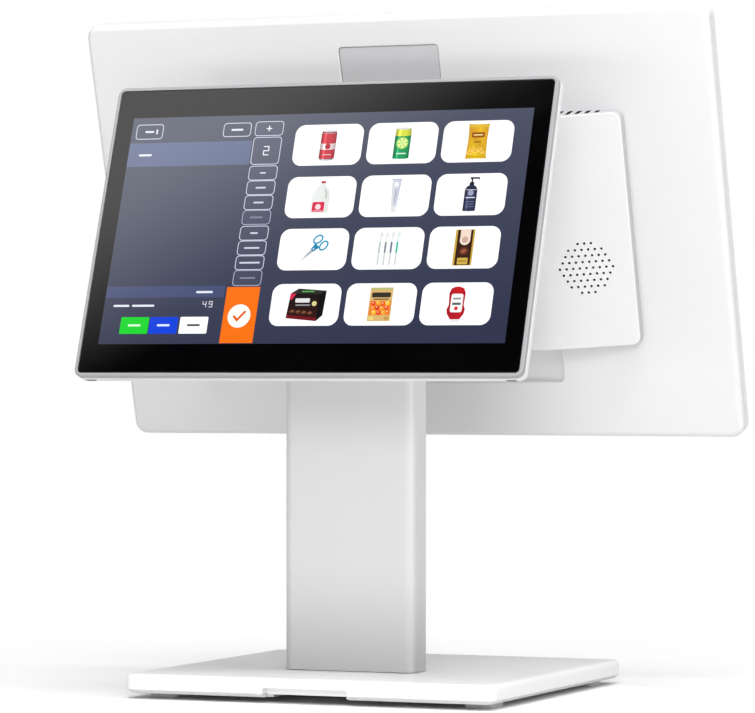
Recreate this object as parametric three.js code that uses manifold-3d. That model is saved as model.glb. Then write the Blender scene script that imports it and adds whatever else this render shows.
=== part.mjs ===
// Dual-screen point-of-sale terminal on a single rectangular column.
//
// Millimetres, +Z up.  X runs across the screens, the small customer screen
// faces -Y and the large operator screen faces +Y.  The origin is the middle
// of the whole outline, on the surface that the four feet stand on.
//
// Everything is laid out in the base's own frame first (x = y = 0 midway
// between the four feet) and the finished assembly is then moved by
// ORIGIN_SHIFT_Y so that its outline is centred.

import * as THREE from 'three';
import { mergeVertices } from 'three/addons/utils/BufferGeometryUtils.js';
import Module from 'manifold-3d';

const wasm = await Module();
wasm.setup();

// ------------------------------------------------------------ dimensions
const ORIGIN_SHIFT_Y = 8.6;
const GAP = 0.3; // clearance between neighbouring pieces

// base
const BASE_W = 203.2, BASE_FRONT_Y = -98.5, BASE_REAR_Y = 96.3;
const BASE_D = BASE_REAR_Y - BASE_FRONT_Y, BASE_CY = (BASE_FRONT_Y + BASE_REAR_Y) / 2;
const BASE_R = 6.0, BASE_FILLET = 3.0;
const BASE_TOP = 12.9; // top of the cover
const BASE_SPLIT = 5.0; // parting line between cover and bottom plate
const BASE_UNDER = 3.0; // underside of the bottom plate, on 3 mm feet
const BASE_WALL = 2.5, BASE_ROOF = 1.5;
const FOOT = 16.0, FOOT_INSET_X = 6.5, FOOT_Y = 73.0;
const NOTCH_W = 46.4, NOTCH_TOP = 7.8; // cable notch in the front edge
const NOTCH_DEPTH = 5.0, NOTCH_WALL = 1.5, NOTCH_LIP = 4.5; // its back wall ends at the lip
const CHANNEL_W = 40.0, CHANNEL_END_Y = -15.0; // cable channel under the base
const WEIGHT_TOP = 8.8;

// column
const COL_W = 72.6, COL_D = 22.0, COL_FRONT_Y = -42.7, COL_R = 5.0;
const COL_WALL = 2.5, COL_TOP = 221.5;
const COL_Y = COL_FRONT_Y + COL_D / 2;
const REAR_SLOT = 28.0; // half width of the opening in the column's back
const REAR_COVER_TOP = 204.0;

// column head and the two tilt axes (both along X)
const HEAD_HALF = 35.0, HEAD_R = 10.0;
const C_AXIS_Y = -54.0, C_AXIS_Z = 232.0; // customer display
const M_AXIS_Y = -0.2, M_AXIS_Z = 232.0; // main unit
const PIN_R = 4.0, BORE_R = 4.35;
const WASHER_IN = 35.3, WASHER_OUT = 36.8, WASHER_R = 7.0;
const ARM_IN = 37.1, ARM_OUT = 40.1;
const PIN_HEAD_IN = 40.4, PIN_HEAD_OUT = 42.9, PIN_HEAD_R = 7.0;

// customer display: local frame x, z in the plane of the glass, +y into it
const C_TILT = 19.52; // degrees, top leans back (towards +Y)
const C_CENTRE_Y = -86.6, C_CENTRE_Z = 241.0; // middle of the glass
const C_GLASS_W = 241.1, C_GLASS_H = 155.9, C_GLASS_T = 1.1, C_GLASS_R = 2.0;
const C_W = 245.5, C_H = 160.3, C_R = 4.5;
const C_FRAME_FRONT = -0.2, C_FRAME_BACK = 3.0;
const C_BACK = 10.0, C_BOSS = 12.3;
const C_PLATE_T = 2.5;

// main unit: local frame x, z in the plane of the back, +y to the screen
const M_TILT = 15.81; // degrees, top leans towards -Y
const M_BACK_Y = 40.2, M_BACK_Z = 244.3; // middle of the back surface
const M_W = 355.6, M_H = 231.8, M_R = 7.0;
const M_SPLIT = 7.0, M_FRONT = 11.2;
const M_WALL = 2.2;
const BOX_HALF = 128.1, BOX_LOW = -62.7, BOX_HIGH = 62.6; // compute box
const BOX_EDGE = 7.25, BOX_DEEP = 19.0, BOX_PLATEAU = 80.0, BOX_R = 4.5;
const BOX_WALL = 2.0;
const VENT_PITCH = 5.0, VENT_W = 2.3, VENT_COUNT = 47;
const BAY_HALF = 80.6, BAY_LOW = -85.2, BAY_DEPTH = 5.0, BAY_R = 3.0;
const DOOR_X = -0.9, DOOR_W = 56.4, DOOR_LOW = 65.6, DOOR_HIGH = 99.5;
const M_PLATE_T = 3.0;
const BUTTON_X = -140.0, BUTTON_Y = 4.6, BUTTON_W = 12.0, BUTTON_T = 2.4;
const BUTTON_TRAVEL = 1.0, BUTTON_PROUD = 0.8;

const rad = (d) => (d * Math.PI) / 180;

// ------------------------------------------------------------ materials
const mat = (hex, rough, metal = 0) =>
  new THREE.MeshStandardMaterial({ color: hex, roughness: rough, metalness: metal });
const WHITE = () => mat(0xeeeff0, 0.42);
const PALE = () => mat(0xd9dadc, 0.4);
const GREY = () => mat(0xb9bbbe, 0.5);
const BLACK_GLASS = () => mat(0x0b0d12, 0.08);
const DARK = () => mat(0x2a2c2f, 0.6);
const STEEL = () => mat(0x9fa3a8, 0.35, 0.9);
const PLATE = () => mat(0x55585c, 0.5, 0.7);
const BOARD = () => mat(0x1d5a36, 0.55);
const RUBBER = () => mat(0xc9cacc, 0.85);

// ------------------------------------------------------------ shape helpers
function rect(w, h, r = 0, cx = 0, cy = 0) {
  const s = new THREE.Shape();
  const x = cx - w / 2, y = cy - h / 2;
  if (r <= 0) {
    s.moveTo(x, y); s.lineTo(x + w, y); s.lineTo(x + w, y + h); s.lineTo(x, y + h);
    s.closePath();
    return s;
  }
  s.moveTo(x + r, y);
  s.lineTo(x + w - r, y);
  s.absarc(x + w - r, y + r, r, -Math.PI / 2, 0, false);
  s.lineTo(x + w, y + h - r);
  s.absarc(x + w - r, y + h - r, r, 0, Math.PI / 2, false);
  s.lineTo(x + r, y + h);
  s.absarc(x + r, y + h - r, r, Math.PI / 2, Math.PI, false);
  s.lineTo(x, y + r);
  s.absarc(x + r, y + r, r, Math.PI, 1.5 * Math.PI, false);
  return s;
}

// A shape drawn in (x, y) pushed along +Z from z0 to z1; bevel rounds both ends.
function prismZ(shape, z0, z1, bevel = 0, arc = 4, seg = 3) {
  const g = new THREE.ExtrudeGeometry(shape, bevel > 0
    ? { depth: z1 - z0 - 2 * bevel, bevelEnabled: true, bevelThickness: bevel,
        bevelSize: bevel, bevelOffset: -bevel, bevelSegments: seg,
        curveSegments: arc }
    : { depth: z1 - z0, bevelEnabled: false, curveSegments: arc });
  g.translate(0, 0, z0 + bevel);
  return g;
}
// A shape drawn in (x, z) pushed along Y.
function prismY(shape, y0, y1, bevel = 0, arc = 4, seg = 3) {
  const g = prismZ(shape, 0, y1 - y0, bevel, arc, seg);
  g.rotateX(Math.PI / 2);
  g.translate(0, y1, 0);
  return g;
}
// A shape drawn in (y, z) pushed along X.
const TO_X = new THREE.Matrix4().makeBasis(
  new THREE.Vector3(0, 1, 0), new THREE.Vector3(0, 0, 1), new THREE.Vector3(1, 0, 0));
function prismX(shape, x0, x1, bevel = 0, arc = 4, seg = 3) {
  const g = prismZ(shape, x0, x1, bevel, arc, seg);
  g.applyMatrix4(TO_X);
  return g;
}
function box(x0, x1, y0, y1, z0, z1) {
  const g = new THREE.BoxGeometry(x1 - x0, y1 - y0, z1 - z0);
  g.translate((x0 + x1) / 2, (y0 + y1) / 2, (z0 + z1) / 2);
  return g;
}
function rodX(r, x0, x1, y, z, n = 16) {
  const g = new THREE.CylinderGeometry(r, r, x1 - x0, n);
  g.rotateZ(Math.PI / 2);
  g.translate((x0 + x1) / 2, y, z);
  return g;
}
function rodY(r, y0, y1, x, z, n = 12) {
  const g = new THREE.CylinderGeometry(r, r, y1 - y0, n);
  g.translate(x, (y0 + y1) / 2, z);
  return g;
}
function rodZ(r, z0, z1, x, y, n = 12) {
  const g = new THREE.CylinderGeometry(r, r, z1 - z0, n);
  g.rotateX(Math.PI / 2);
  g.translate(x, y, (z0 + z1) / 2);
  return g;
}

// ------------------------------------------------------------ booleans
function solid(geometry) {
  let g = geometry.clone();
  g.deleteAttribute('normal');
  g.deleteAttribute('uv');
  g = mergeVertices(g, 1e-4);
  return new wasm.Manifold(new wasm.Mesh({
    numProp: 3,
    vertProperties: new Float32Array(g.attributes.position.array),
    triVerts: new Uint32Array(g.index.array),
  }));
}
const join = (first, ...rest) => rest.reduce((a, g) => a.add(solid(g)), asSolid(first));
const cut = (first, ...rest) => rest.reduce((a, g) => a.subtract(solid(g)), asSolid(first));
const keep = (first, g) => asSolid(first).intersect(solid(g));
function asSolid(thing) {
  return thing.isBufferGeometry ? solid(thing) : thing;
}
function toGeometry(manifold) {
  const m = manifold.getMesh();
  const p = new Float32Array(m.numVert * 3);
  for (let i = 0; i < m.numVert; i++) {
    for (let k = 0; k < 3; k++) p[3 * i + k] = m.vertProperties[m.numProp * i + k];
  }
  const g = new THREE.BufferGeometry();
  g.setAttribute('position', new THREE.BufferAttribute(p, 3));
  g.setIndex(new THREE.BufferAttribute(new Uint32Array(m.triVerts), 1));
  g.computeVertexNormals();
  return g;
}

const terminal = new THREE.Group();
const stand = new THREE.Group();
const customer = new THREE.Group();
const main = new THREE.Group();
terminal.add(stand, customer, main);
terminal.position.set(0, ORIGIN_SHIFT_Y, 0);
customer.position.set(0, C_CENTRE_Y, C_CENTRE_Z);
customer.rotation.set(rad(-C_TILT), 0, 0);
main.position.set(0, M_BACK_Y, M_BACK_Z);
main.rotation.set(rad(M_TILT), 0, 0);

function put(group, name, thing, material) {
  const geometry = thing.isBufferGeometry ? thing : toGeometry(thing);
  const mesh = new THREE.Mesh(geometry, material);
  mesh.name = name;
  group.add(mesh);
  return mesh;
}

// A world point of the base frame in a tilted group's own frame.
function local(group, y, z) {
  group.updateMatrix();
  const v = new THREE.Vector3(0, y, z).applyMatrix4(group.matrix.clone().invert());
  return [v.y, v.z];
}

// ------------------------------------------------------------ base
const footX = BASE_W / 2 - FOOT_INSET_X - FOOT / 2;
const BASE_SCREWS = [[-60, -72], [60, -72], [-60, 72], [60, 72]];

{
  // shallow cover, open below, rounded along its top edge
  let cover = keep(
    prismZ(rect(BASE_W, BASE_D, BASE_R, 0, BASE_CY), BASE_SPLIT - 8, BASE_TOP,
      BASE_FILLET, 5, 4),
    box(-200, 200, -200, 200, BASE_SPLIT, BASE_TOP + 1));
  cover = cut(cover,
    prismZ(rect(BASE_W - 2 * BASE_WALL, BASE_D - 2 * BASE_WALL, 3.6, 0, BASE_CY),
      BASE_SPLIT - 1, BASE_TOP - BASE_ROOF, 0, 3),
    // way for the spine and the cables into the column
    box(-31, 31, -39.8, -24.0, BASE_TOP - 3, BASE_TOP + 1));
  // pocket of the cable notch in the front edge
  const n = NOTCH_W / 2, y0 = BASE_FRONT_Y;
  cover = join(cover,
    box(-n - NOTCH_WALL, n + NOTCH_WALL, y0 + 1, y0 + NOTCH_DEPTH + NOTCH_WALL,
      BASE_SPLIT, BASE_TOP - BASE_ROOF + 0.1),
    box(-n + 0.4, n - 0.4, y0 + NOTCH_DEPTH, y0 + NOTCH_DEPTH + NOTCH_WALL,
      NOTCH_LIP, BASE_SPLIT + 0.5));
  cover = cut(cover, box(-n, n, y0 - 2, y0 + NOTCH_DEPTH, BASE_SPLIT - 2, NOTCH_TOP));
  put(stand, 'base_top_cover', cover, WHITE());

  const channel = box(-CHANNEL_W / 2, CHANNEL_W / 2, -BASE_D, CHANNEL_END_Y, 0, 11);
  const notch = box(-n, n, y0 - 2, y0 + NOTCH_DEPTH + NOTCH_WALL + 0.5, 0, 11);
  const pocket = box(-n - NOTCH_WALL - 0.5, n + NOTCH_WALL + 0.5, y0 - 2,
    y0 + NOTCH_DEPTH + NOTCH_WALL + 0.5, 0, 11);
  const holes = BASE_SCREWS.map(([x, y]) => rodZ(2.4, 0, 12, x, y));

  put(stand, 'base_weight_plate', cut(
    prismZ(rect(BASE_W - 2 * BASE_WALL - 1.2, BASE_D - 2 * BASE_WALL - 1.2, 3.0, 0, BASE_CY),
      BASE_SPLIT + GAP, WEIGHT_TOP, 0, 2),
    channel, pocket, ...holes), PLATE());

  put(stand, 'base_bottom_plate', cut(
    prismZ(rect(BASE_W, BASE_D, BASE_R, 0, BASE_CY), BASE_UNDER, BASE_SPLIT - GAP, 0, 5),
    channel, notch, ...holes), PALE());

  BASE_SCREWS.forEach(([x, y], i) => put(stand, `base_screw_${i + 1}`,
    join(rodZ(3.6, 1.3, BASE_UNDER - GAP, x, y),
      rodZ(2.0, BASE_UNDER - GAP - 0.1, WEIGHT_TOP - 0.3, x, y)), STEEL()));

  const names = [['foot_front_left', -1, -1], ['foot_front_right', 1, -1],
    ['foot_rear_left', -1, 1], ['foot_rear_right', 1, 1]];
  for (const [name, sx, sy] of names) {
    put(stand, name, prismZ(rect(FOOT, FOOT, 3, sx * footX, sy * FOOT_Y),
      0, BASE_UNDER - GAP, 0, 3), RUBBER());
  }
}

// ------------------------------------------------------------ column
{
  const inner = COL_WALL;
  // front and sides in one piece, open at the back between two lips
  put(stand, 'column_front_shell', cut(
    prismZ(rect(COL_W, COL_D, COL_R, 0, COL_Y), BASE_TOP + GAP, COL_TOP, 0, 5),
    prismZ(rect(COL_W - 2 * inner, COL_D - 2 * inner, COL_R - inner, 0, COL_Y),
      0, 300, 0, 3),
    box(-REAR_SLOT, REAR_SLOT, COL_Y + 4, COL_Y + COL_D, 0, 300)), WHITE());

  put(stand, 'column_rear_cover',
    box(-REAR_SLOT + GAP, REAR_SLOT - GAP, COL_FRONT_Y + COL_D - 2.2,
      COL_FRONT_Y + COL_D, BASE_TOP + GAP, REAR_COVER_TOP), PALE());

  // steel spine welded to a foot that is bolted to the weight plate
  put(stand, 'column_spine', cut(
    join(box(-22, 22, -39.5, -35.5, WEIGHT_TOP + GAP, 218),
      box(-30, 30, -56, -8, WEIGHT_TOP + GAP, WEIGHT_TOP + GAP + 2)),
    box(-18, 18, -33.5, -18, 5, 14)), STEEL());

  // head: a bar with round front and back that carries both hinge pins
  const bar = new THREE.Shape();
  bar.moveTo(C_AXIS_Y, C_AXIS_Z - HEAD_R);
  bar.lineTo(M_AXIS_Y, M_AXIS_Z - HEAD_R);
  bar.absarc(M_AXIS_Y, M_AXIS_Z, HEAD_R, -Math.PI / 2, Math.PI / 2, false);
  bar.lineTo(C_AXIS_Y, C_AXIS_Z + HEAD_R);
  bar.absarc(C_AXIS_Y, C_AXIS_Z, HEAD_R, Math.PI / 2, 1.5 * Math.PI, false);
  put(stand, 'column_head', cut(
    join(prismX(bar, -HEAD_HALF, HEAD_HALF, 1.5, 10, 2),
      box(-31, 31, -35.2, -29.2, 200, C_AXIS_Z)),
    rodX(BORE_R, -60, 60, C_AXIS_Y, C_AXIS_Z),
    rodX(BORE_R, -60, 60, M_AXIS_Y, M_AXIS_Z)), GREY());

  for (const [who, y, z] of [['customer', C_AXIS_Y, C_AXIS_Z], ['main', M_AXIS_Y, M_AXIS_Z]]) {
    put(stand, `${who}_hinge_pin`, join(
      rodX(PIN_R, -PIN_HEAD_IN - 0.5, PIN_HEAD_IN + 0.5, y, z),
      rodX(PIN_HEAD_R, PIN_HEAD_IN, PIN_HEAD_OUT, y, z),
      rodX(PIN_HEAD_R, -PIN_HEAD_OUT, -PIN_HEAD_IN, y, z)), STEEL());
    for (const [side, s] of [['left', -1], ['right', 1]]) {
      const a = Math.min(s * WASHER_IN, s * WASHER_OUT);
      const b = Math.max(s * WASHER_IN, s * WASHER_OUT);
      put(stand, `${who}_friction_washer_${side}`, cut(
        rodX(WASHER_R, a, b, y, z), rodX(BORE_R, -60, 60, y, z)), STEEL());
    }
  }
}

// An arm drawn in (y, z): flat against a plate, round about the pin.
function armShape(axisY, axisZ, r, plateY, half) {
  const s = new THREE.Shape();
  if (axisY > plateY) {
    s.moveTo(plateY, axisZ - half);
    s.lineTo(axisY, axisZ - r);
    s.absarc(axisY, axisZ, r, -Math.PI / 2, Math.PI / 2, false);
    s.lineTo(plateY, axisZ + half);
  } else {
    s.moveTo(plateY, axisZ + half);
    s.lineTo(axisY, axisZ + r);
    s.absarc(axisY, axisZ, r, Math.PI / 2, 1.5 * Math.PI, false);
    s.lineTo(plateY, axisZ - half);
  }
  s.closePath();
  return s;
}

// ------------------------------------------------------------ customer display
{
  const [ay, az] = local(customer, C_AXIS_Y, C_AXIS_Z);
  const plate0 = C_BOSS + GAP, plate1 = plate0 + C_PLATE_T;
  const screws = [[-28, az - 22], [28, az - 22], [-28, az + 22], [28, az + 22]];
  const screwHoles = (r, y0, y1) => screws.map(([x, z]) => rodY(r, y0, y1, x, z));

  put(customer, 'customer_glass',
    prismY(rect(C_GLASS_W, C_GLASS_H, C_GLASS_R), 0, C_GLASS_T), BLACK_GLASS());

  put(customer, 'customer_front_frame', cut(
    prismY(rect(C_W, C_H, C_R), C_FRAME_FRONT, C_FRAME_BACK, 0, 5),
    prismY(rect(C_GLASS_W + 2 * GAP, C_GLASS_H + 2 * GAP, C_GLASS_R + GAP),
      -2, C_GLASS_T + GAP),
    prismY(rect(234, 149, 2), -2, 5)), PALE());

  put(customer, 'customer_lcd_module',
    prismY(rect(230, 140, 1.5), C_GLASS_T + GAP, 5.6, 0, 2), DARK());

  put(customer, 'customer_driver_board',
    box(-50, 50, 6.0, 7.6, az - 30, az + 30), BOARD());

  let shell = keep(prismY(rect(C_W, C_H, C_R), -6, C_BACK, 3.6, 5, 4),
    box(-200, 200, C_FRAME_BACK + GAP, 30, -200, 200));
  shell = join(shell, prismY(rect(120, 90, 8, 0, az), 6, C_BOSS, 2.0, 4, 3));
  shell = cut(shell,
    prismY(rect(C_W - 4.4, C_H - 4.4, 2.6), -5, 8.2, 0, 3),
    ...screwHoles(1.9, 5, 20),
    box(-118, -112, 4.8, 7.4, -C_H / 2 - 3, -C_H / 2 + 4),
    box(112, 118, 4.8, 7.4, -C_H / 2 - 3, -C_H / 2 + 4));
  put(customer, 'customer_back_shell', shell, WHITE());

  for (const [side, s] of [['left', -1], ['right', 1]]) {
    put(customer, `customer_edge_plug_${side}`,
      box(s * 115 - 2.7, s * 115 + 2.7, 5.1, 7.1, -C_H / 2 - 0.1, -C_H / 2 + 2.0), DARK());
    const a = Math.min(s * ARM_IN, s * ARM_OUT), b = Math.max(s * ARM_IN, s * ARM_OUT);
    put(customer, `customer_hinge_arm_${side}`, cut(
      prismX(armShape(ay, az, 8.0, plate1 + GAP, 19), a, b, 0, 8),
      rodX(BORE_R, -60, 60, ay, az)), PLATE());
  }
  put(customer, 'customer_mount_plate', cut(
    prismY(rect(84, 60, 4, 0, az), plate0, plate1), ...screwHoles(1.9, 5, 20)), PLATE());
  screws.forEach(([x, z], i) => put(customer, `customer_screw_${i + 1}`, join(
    rodY(3.0, plate1 + GAP, plate1 + GAP + 2, x, z),
    rodY(1.5, 9.4, plate1 + GAP + 0.5, x, z)), STEEL()));
}

// ------------------------------------------------------------ main unit
{
  const [ay, az] = local(main, M_AXIS_Y, M_AXIS_Z);
  const plate1 = -BOX_DEEP - GAP, plate0 = plate1 - M_PLATE_T;
  const screws = [[-28, az - 24], [28, az - 24], [-28, az + 24], [28, az + 24]];
  const screwHoles = (r, y0, y1) => screws.map(([x, z]) => rodY(r, y0, y1, x, z));

  put(main, 'main_glass',
    prismY(rect(349.4, 225.6, 4.7), 9.8, 11.1), BLACK_GLASS());
  put(main, 'main_front_frame', cut(
    prismY(rect(M_W, M_H, M_R), M_SPLIT + GAP, M_FRONT, 0, 5),
    prismY(rect(350.0, 226.2, 5), 9.5, 14),
    prismY(rect(346.6, 206.6, 2), 0, 14, 0, 2)), PALE());
  put(main, 'main_lcd_module', prismY(rect(346, 206, 1.5), 6.5, 9.5, 0, 2), DARK());
  put(main, 'main_chassis_plate', box(-165, 165, 4.6, 5.8, -57, 101), STEEL());

  const bayMid = (BOX_LOW + BAY_LOW) / 2, bayH = BOX_LOW - BAY_LOW;
  let shell = keep(prismY(rect(M_W, M_H, M_R), 0, 16, 3.0, 5, 4),
    box(-300, 300, -5, M_SPLIT, -300, 300));
  shell = cut(shell, prismY(rect(M_W - 2 * M_WALL, M_H - 2 * M_WALL, 5), M_WALL, 12, 0, 3));
  shell = join(shell, box(-BAY_HALF - 1.8, BAY_HALF + 1.8, 0.8, BAY_DEPTH + 1.2,
    BAY_LOW - 1.8, BOX_LOW + 1.8));
  shell = cut(shell,
    // connector bay
    prismY(rect(2 * BAY_HALF, bayH, BAY_R, 0, bayMid), -3, BAY_DEPTH),
    // window behind the compute box
    box(-121, 121, -3, 4, -58, 57.5),
    // opening of the upper service door
    prismY(rect(DOOR_W + 2 * GAP, DOOR_HIGH - DOOR_LOW + 2 * GAP, 3.5, DOOR_X,
      (DOOR_LOW + DOOR_HIGH) / 2), -3, 4),
    // slot of the power button, in the lower edge
    box(BUTTON_X - BUTTON_W / 2 - GAP, BUTTON_X + BUTTON_W / 2 + GAP,
      BUTTON_Y - BUTTON_T / 2 - GAP, BUTTON_Y + BUTTON_T / 2 + GAP, -M_H / 2 - 3, -M_H / 2 + 5));
  put(main, 'main_back_shell', shell, WHITE());

  put(main, 'upper_service_door', prismY(rect(DOOR_W, DOOR_HIGH - DOOR_LOW, 3.2, DOOR_X,
    (DOOR_LOW + DOOR_HIGH) / 2), 0.5, 2.0), PALE());

  // compute box: flat middle, shoulders that slope down to a low edge
  const outline = (half, flat, edge, deep, top) => {
    const s = new THREE.Shape();
    s.moveTo(-half, top); s.lineTo(-half, -edge); s.lineTo(-flat, -deep);
    s.lineTo(flat, -deep); s.lineTo(half, -edge); s.lineTo(half, top);
    s.closePath();
    return s;
  };
  const depthAt = (x) => Math.abs(x) <= BOX_PLATEAU ? BOX_DEEP
    : BOX_DEEP - (BOX_DEEP - BOX_EDGE) * (Math.abs(x) - BOX_PLATEAU) / (BOX_HALF - BOX_PLATEAU);
  let cover = keep(prismZ(outline(BOX_HALF, BOX_PLATEAU, BOX_EDGE, BOX_DEEP, -GAP),
    BOX_LOW, BOX_HIGH),
  prismY(rect(2 * BOX_HALF, BOX_HIGH - BOX_LOW, BOX_R, 0, (BOX_HIGH + BOX_LOW) / 2), -40, 5));
  cover = cut(cover, prismZ(outline(BOX_HALF - BOX_WALL, BOX_PLATEAU - 0.5, BOX_EDGE - 1.7,
    BOX_DEEP - BOX_WALL, 5), BOX_LOW + BOX_WALL, BOX_HIGH - BOX_WALL));
  const ports = [
    // name, x, half width, cavities [half width, y0, y1], depth
    ['drawer_port', -36, 6.7, [[4.9, -13.6, -6.6]], 11],
    ['lan_port', -12, 8.2, [[5.9, -14.6, -6.2]], 12],
    ['usb_port_left', 14, 7.3, [[6.2, -15.8, -10.8], [6.2, -9.8, -4.8]], 11],
    ['usb_port_right', 38, 7.3, [[6.2, -15.8, -10.8], [6.2, -9.8, -4.8]], 11],
  ];
  const cuts = ports.map(([, x, w]) =>
    box(x - w - GAP, x + w + GAP, -16.6 - GAP, -3.9 + GAP, BOX_LOW - 1, BOX_LOW + 4));
  cuts.push(box(-60 - 5.3, -60 + 5.3, -15.3, -3.6, BOX_LOW - 1, BOX_LOW + 4));
  const half = (VENT_COUNT - 1) / 2;
  for (let i = -half; i <= half; i++) {
    const x = i * VENT_PITCH;
    cuts.push(box(x - VENT_W / 2, x + VENT_W / 2, -(depthAt(x) - 3.4), -3.2,
      BOX_HIGH - 4, BOX_HIGH + 2));
  }
  put(main, 'compute_box_cover', cut(cover, ...cuts, ...screwHoles(2.4, -30, -10)), WHITE());

  for (const [name, x, w, cavities, depth] of ports) {
    put(main, name, cut(box(x - w, x + w, -16.6, -3.9, BOX_LOW + 0.3, BOX_LOW + 15),
      ...cavities.map(([h, y0, y1]) => box(x - h, x + h, y0, y1, BOX_LOW - 2,
        BOX_LOW + 0.3 + depth))), DARK());
  }
  put(main, 'dc_inlet', join(cut(box(-65, -55, -15.0, -3.9, BOX_LOW + 0.3, BOX_LOW + 13),
    rodZ(3.2, BOX_LOW - 2, BOX_LOW + 10, -60, -9.4, 16)),
  rodZ(0.9, BOX_LOW + 1.2, BOX_LOW + 11, -60, -9.4, 8)), DARK());

  put(main, 'mainboard', box(-80, 80, -3.6, -2.0, -60.5, 52), BOARD());
  put(main, 'heat_spreader', box(-32, 32, -9.4, -3.9, -18, 40), STEEL());
  put(main, 'speaker_left', box(-118, -90, -6.6, 1.4, -43, 5), DARK());
  put(main, 'speaker_right', box(90, 118, -6.6, 1.4, -43, 5), DARK());

  put(main, 'main_mount_plate', cut(
    prismY(rect(84, 64, 4, 0, az), plate0, plate1), ...screwHoles(2.4, -30, -10)), PLATE());
  for (const [side, s] of [['left', -1], ['right', 1]]) {
    const a = Math.min(s * ARM_IN, s * ARM_OUT), b = Math.max(s * ARM_IN, s * ARM_OUT);
    put(main, `main_hinge_arm_${side}`, cut(
      prismX(armShape(ay, az, 9.0, plate0 - GAP, 21), a, b, 0, 8),
      rodX(BORE_R, -60, 60, ay, az)), PLATE());
  }
  screws.forEach(([x, z], i) => put(main, `main_screw_${i + 1}`, join(
    rodY(3.6, plate0 - GAP - 2.2, plate0 - GAP, x, z),
    rodY(2.0, plate0 - GAP - 0.5, -13.5, x, z)), STEEL()));

  const low = -M_H / 2;
  put(main, 'power_button', join(
    prismZ(rect(BUTTON_W, BUTTON_T, 1.1, BUTTON_X, BUTTON_Y),
      low - BUTTON_PROUD, low + M_WALL + 1.2, 0, 3),
    box(BUTTON_X - 8, BUTTON_X + 8, BUTTON_Y - 1.9, BUTTON_Y + 1.9,
      low + M_WALL + GAP, low + M_WALL + 1.5)), PALE());
  put(main, 'power_button_board', box(BUTTON_X - 12, BUTTON_X + 12, 2.6, 6.6,
    low + M_WALL + 1.5 + BUTTON_TRAVEL + 0.4, low + M_WALL + 4.5 + BUTTON_TRAVEL), BOARD());
}

export default terminal;
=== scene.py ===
"""Looks of the dual-screen sales terminal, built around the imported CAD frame.

Every piece is drawn in millimetres in the same three frames as the CAD (stand,
customer display, main unit), then brought into the row frame in metres.
"""
import math

import bmesh
import bpy
from mathutils import Matrix, Vector


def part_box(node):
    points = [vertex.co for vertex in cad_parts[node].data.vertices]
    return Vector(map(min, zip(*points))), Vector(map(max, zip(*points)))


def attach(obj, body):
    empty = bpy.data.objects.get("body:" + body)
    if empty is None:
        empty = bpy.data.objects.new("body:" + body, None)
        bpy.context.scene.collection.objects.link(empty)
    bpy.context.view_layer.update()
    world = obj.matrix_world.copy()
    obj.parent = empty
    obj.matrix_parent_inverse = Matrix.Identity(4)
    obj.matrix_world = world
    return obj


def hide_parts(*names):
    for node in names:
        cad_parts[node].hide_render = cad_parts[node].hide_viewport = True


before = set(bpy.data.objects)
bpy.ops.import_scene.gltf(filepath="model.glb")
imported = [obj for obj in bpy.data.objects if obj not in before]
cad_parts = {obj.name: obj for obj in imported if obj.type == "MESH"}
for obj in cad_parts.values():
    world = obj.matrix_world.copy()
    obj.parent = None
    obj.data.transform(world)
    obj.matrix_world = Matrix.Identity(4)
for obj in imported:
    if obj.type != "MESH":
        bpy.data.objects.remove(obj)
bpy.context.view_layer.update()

rad = math.radians

# ------------------------------------------------------------------ frames
_lo, _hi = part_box("base_top_cover")
SHIFT = round((_lo.y + _hi.y) / 2 * 1000 + 1.1, 3)  # mm; the base spans y -98.5 to 96.3

C_TILT, C_Y, C_Z = 19.52, -86.6, 241.0
M_TILT, M_Y, M_Z = 15.81, 40.2, 244.3
MM = Matrix.Scale(0.001, 4)
STAND = MM @ Matrix.Translation((0, SHIFT, 0))
CUST = MM @ Matrix.Translation((0, C_Y + SHIFT, C_Z)) @ Matrix.Rotation(rad(-C_TILT), 4, "X")
MAIN = MM @ Matrix.Translation((0, M_Y + SHIFT, M_Z)) @ Matrix.Rotation(rad(M_TILT), 4, "X")

C_AXIS = (-54.0, 232.0)
M_AXIS = (-0.2, 232.0)


def local(tilt, y0, z0, y, z):
    """A point of the base's frame in a tilted frame."""
    c, s = math.cos(tilt), math.sin(tilt)
    dy, dz = y - y0, z - z0
    return dy * c + dz * s, -dy * s + dz * c


CAY, CAZ = local(rad(-C_TILT), C_Y, C_Z, *C_AXIS)
MAY, MAZ = local(rad(M_TILT), M_Y, M_Z, *M_AXIS)


# ------------------------------------------------------------------ mesh tools
def emb(plane, a, b, d):
    if plane == "Z":
        return (a, b, d)
    if plane == "Y":
        return (a, d, b)
    return (d, a, b)


def ring(w, h, r, cx=0.0, cy=0.0, n=8):
    r = max(min(r, w / 2 - 1e-4, h / 2 - 1e-4), 0.02)
    pts = []
    for sx, sy, a0 in ((1, -1, -90), (1, 1, 0), (-1, 1, 90), (-1, -1, 180)):
        ox, oy = cx + sx * (w / 2 - r), cy + sy * (h / 2 - r)
        for i in range(n + 1):
            a = rad(a0 + 90.0 * i / n)
            pts.append((ox + r * math.cos(a), oy + r * math.sin(a)))
    return pts


def add_loops(bm, loops):
    m = len(loops[0])
    for a, b in zip(loops, loops[1:]):
        for i in range(m):
            j = (i + 1) % m
            bm.faces.new((a[i], a[j], b[j], b[i]))
    bm.faces.new(loops[0][::-1])
    bm.faces.new(loops[-1])


def add_loft(bm, rings, plane="Z", n=8):
    loops = []
    for w, h, r, d, cx, cy in rings:
        loops.append([bm.verts.new(emb(plane, px, py, d)) for px, py in ring(w, h, r, cx, cy, n)])
    add_loops(bm, loops)


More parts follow.
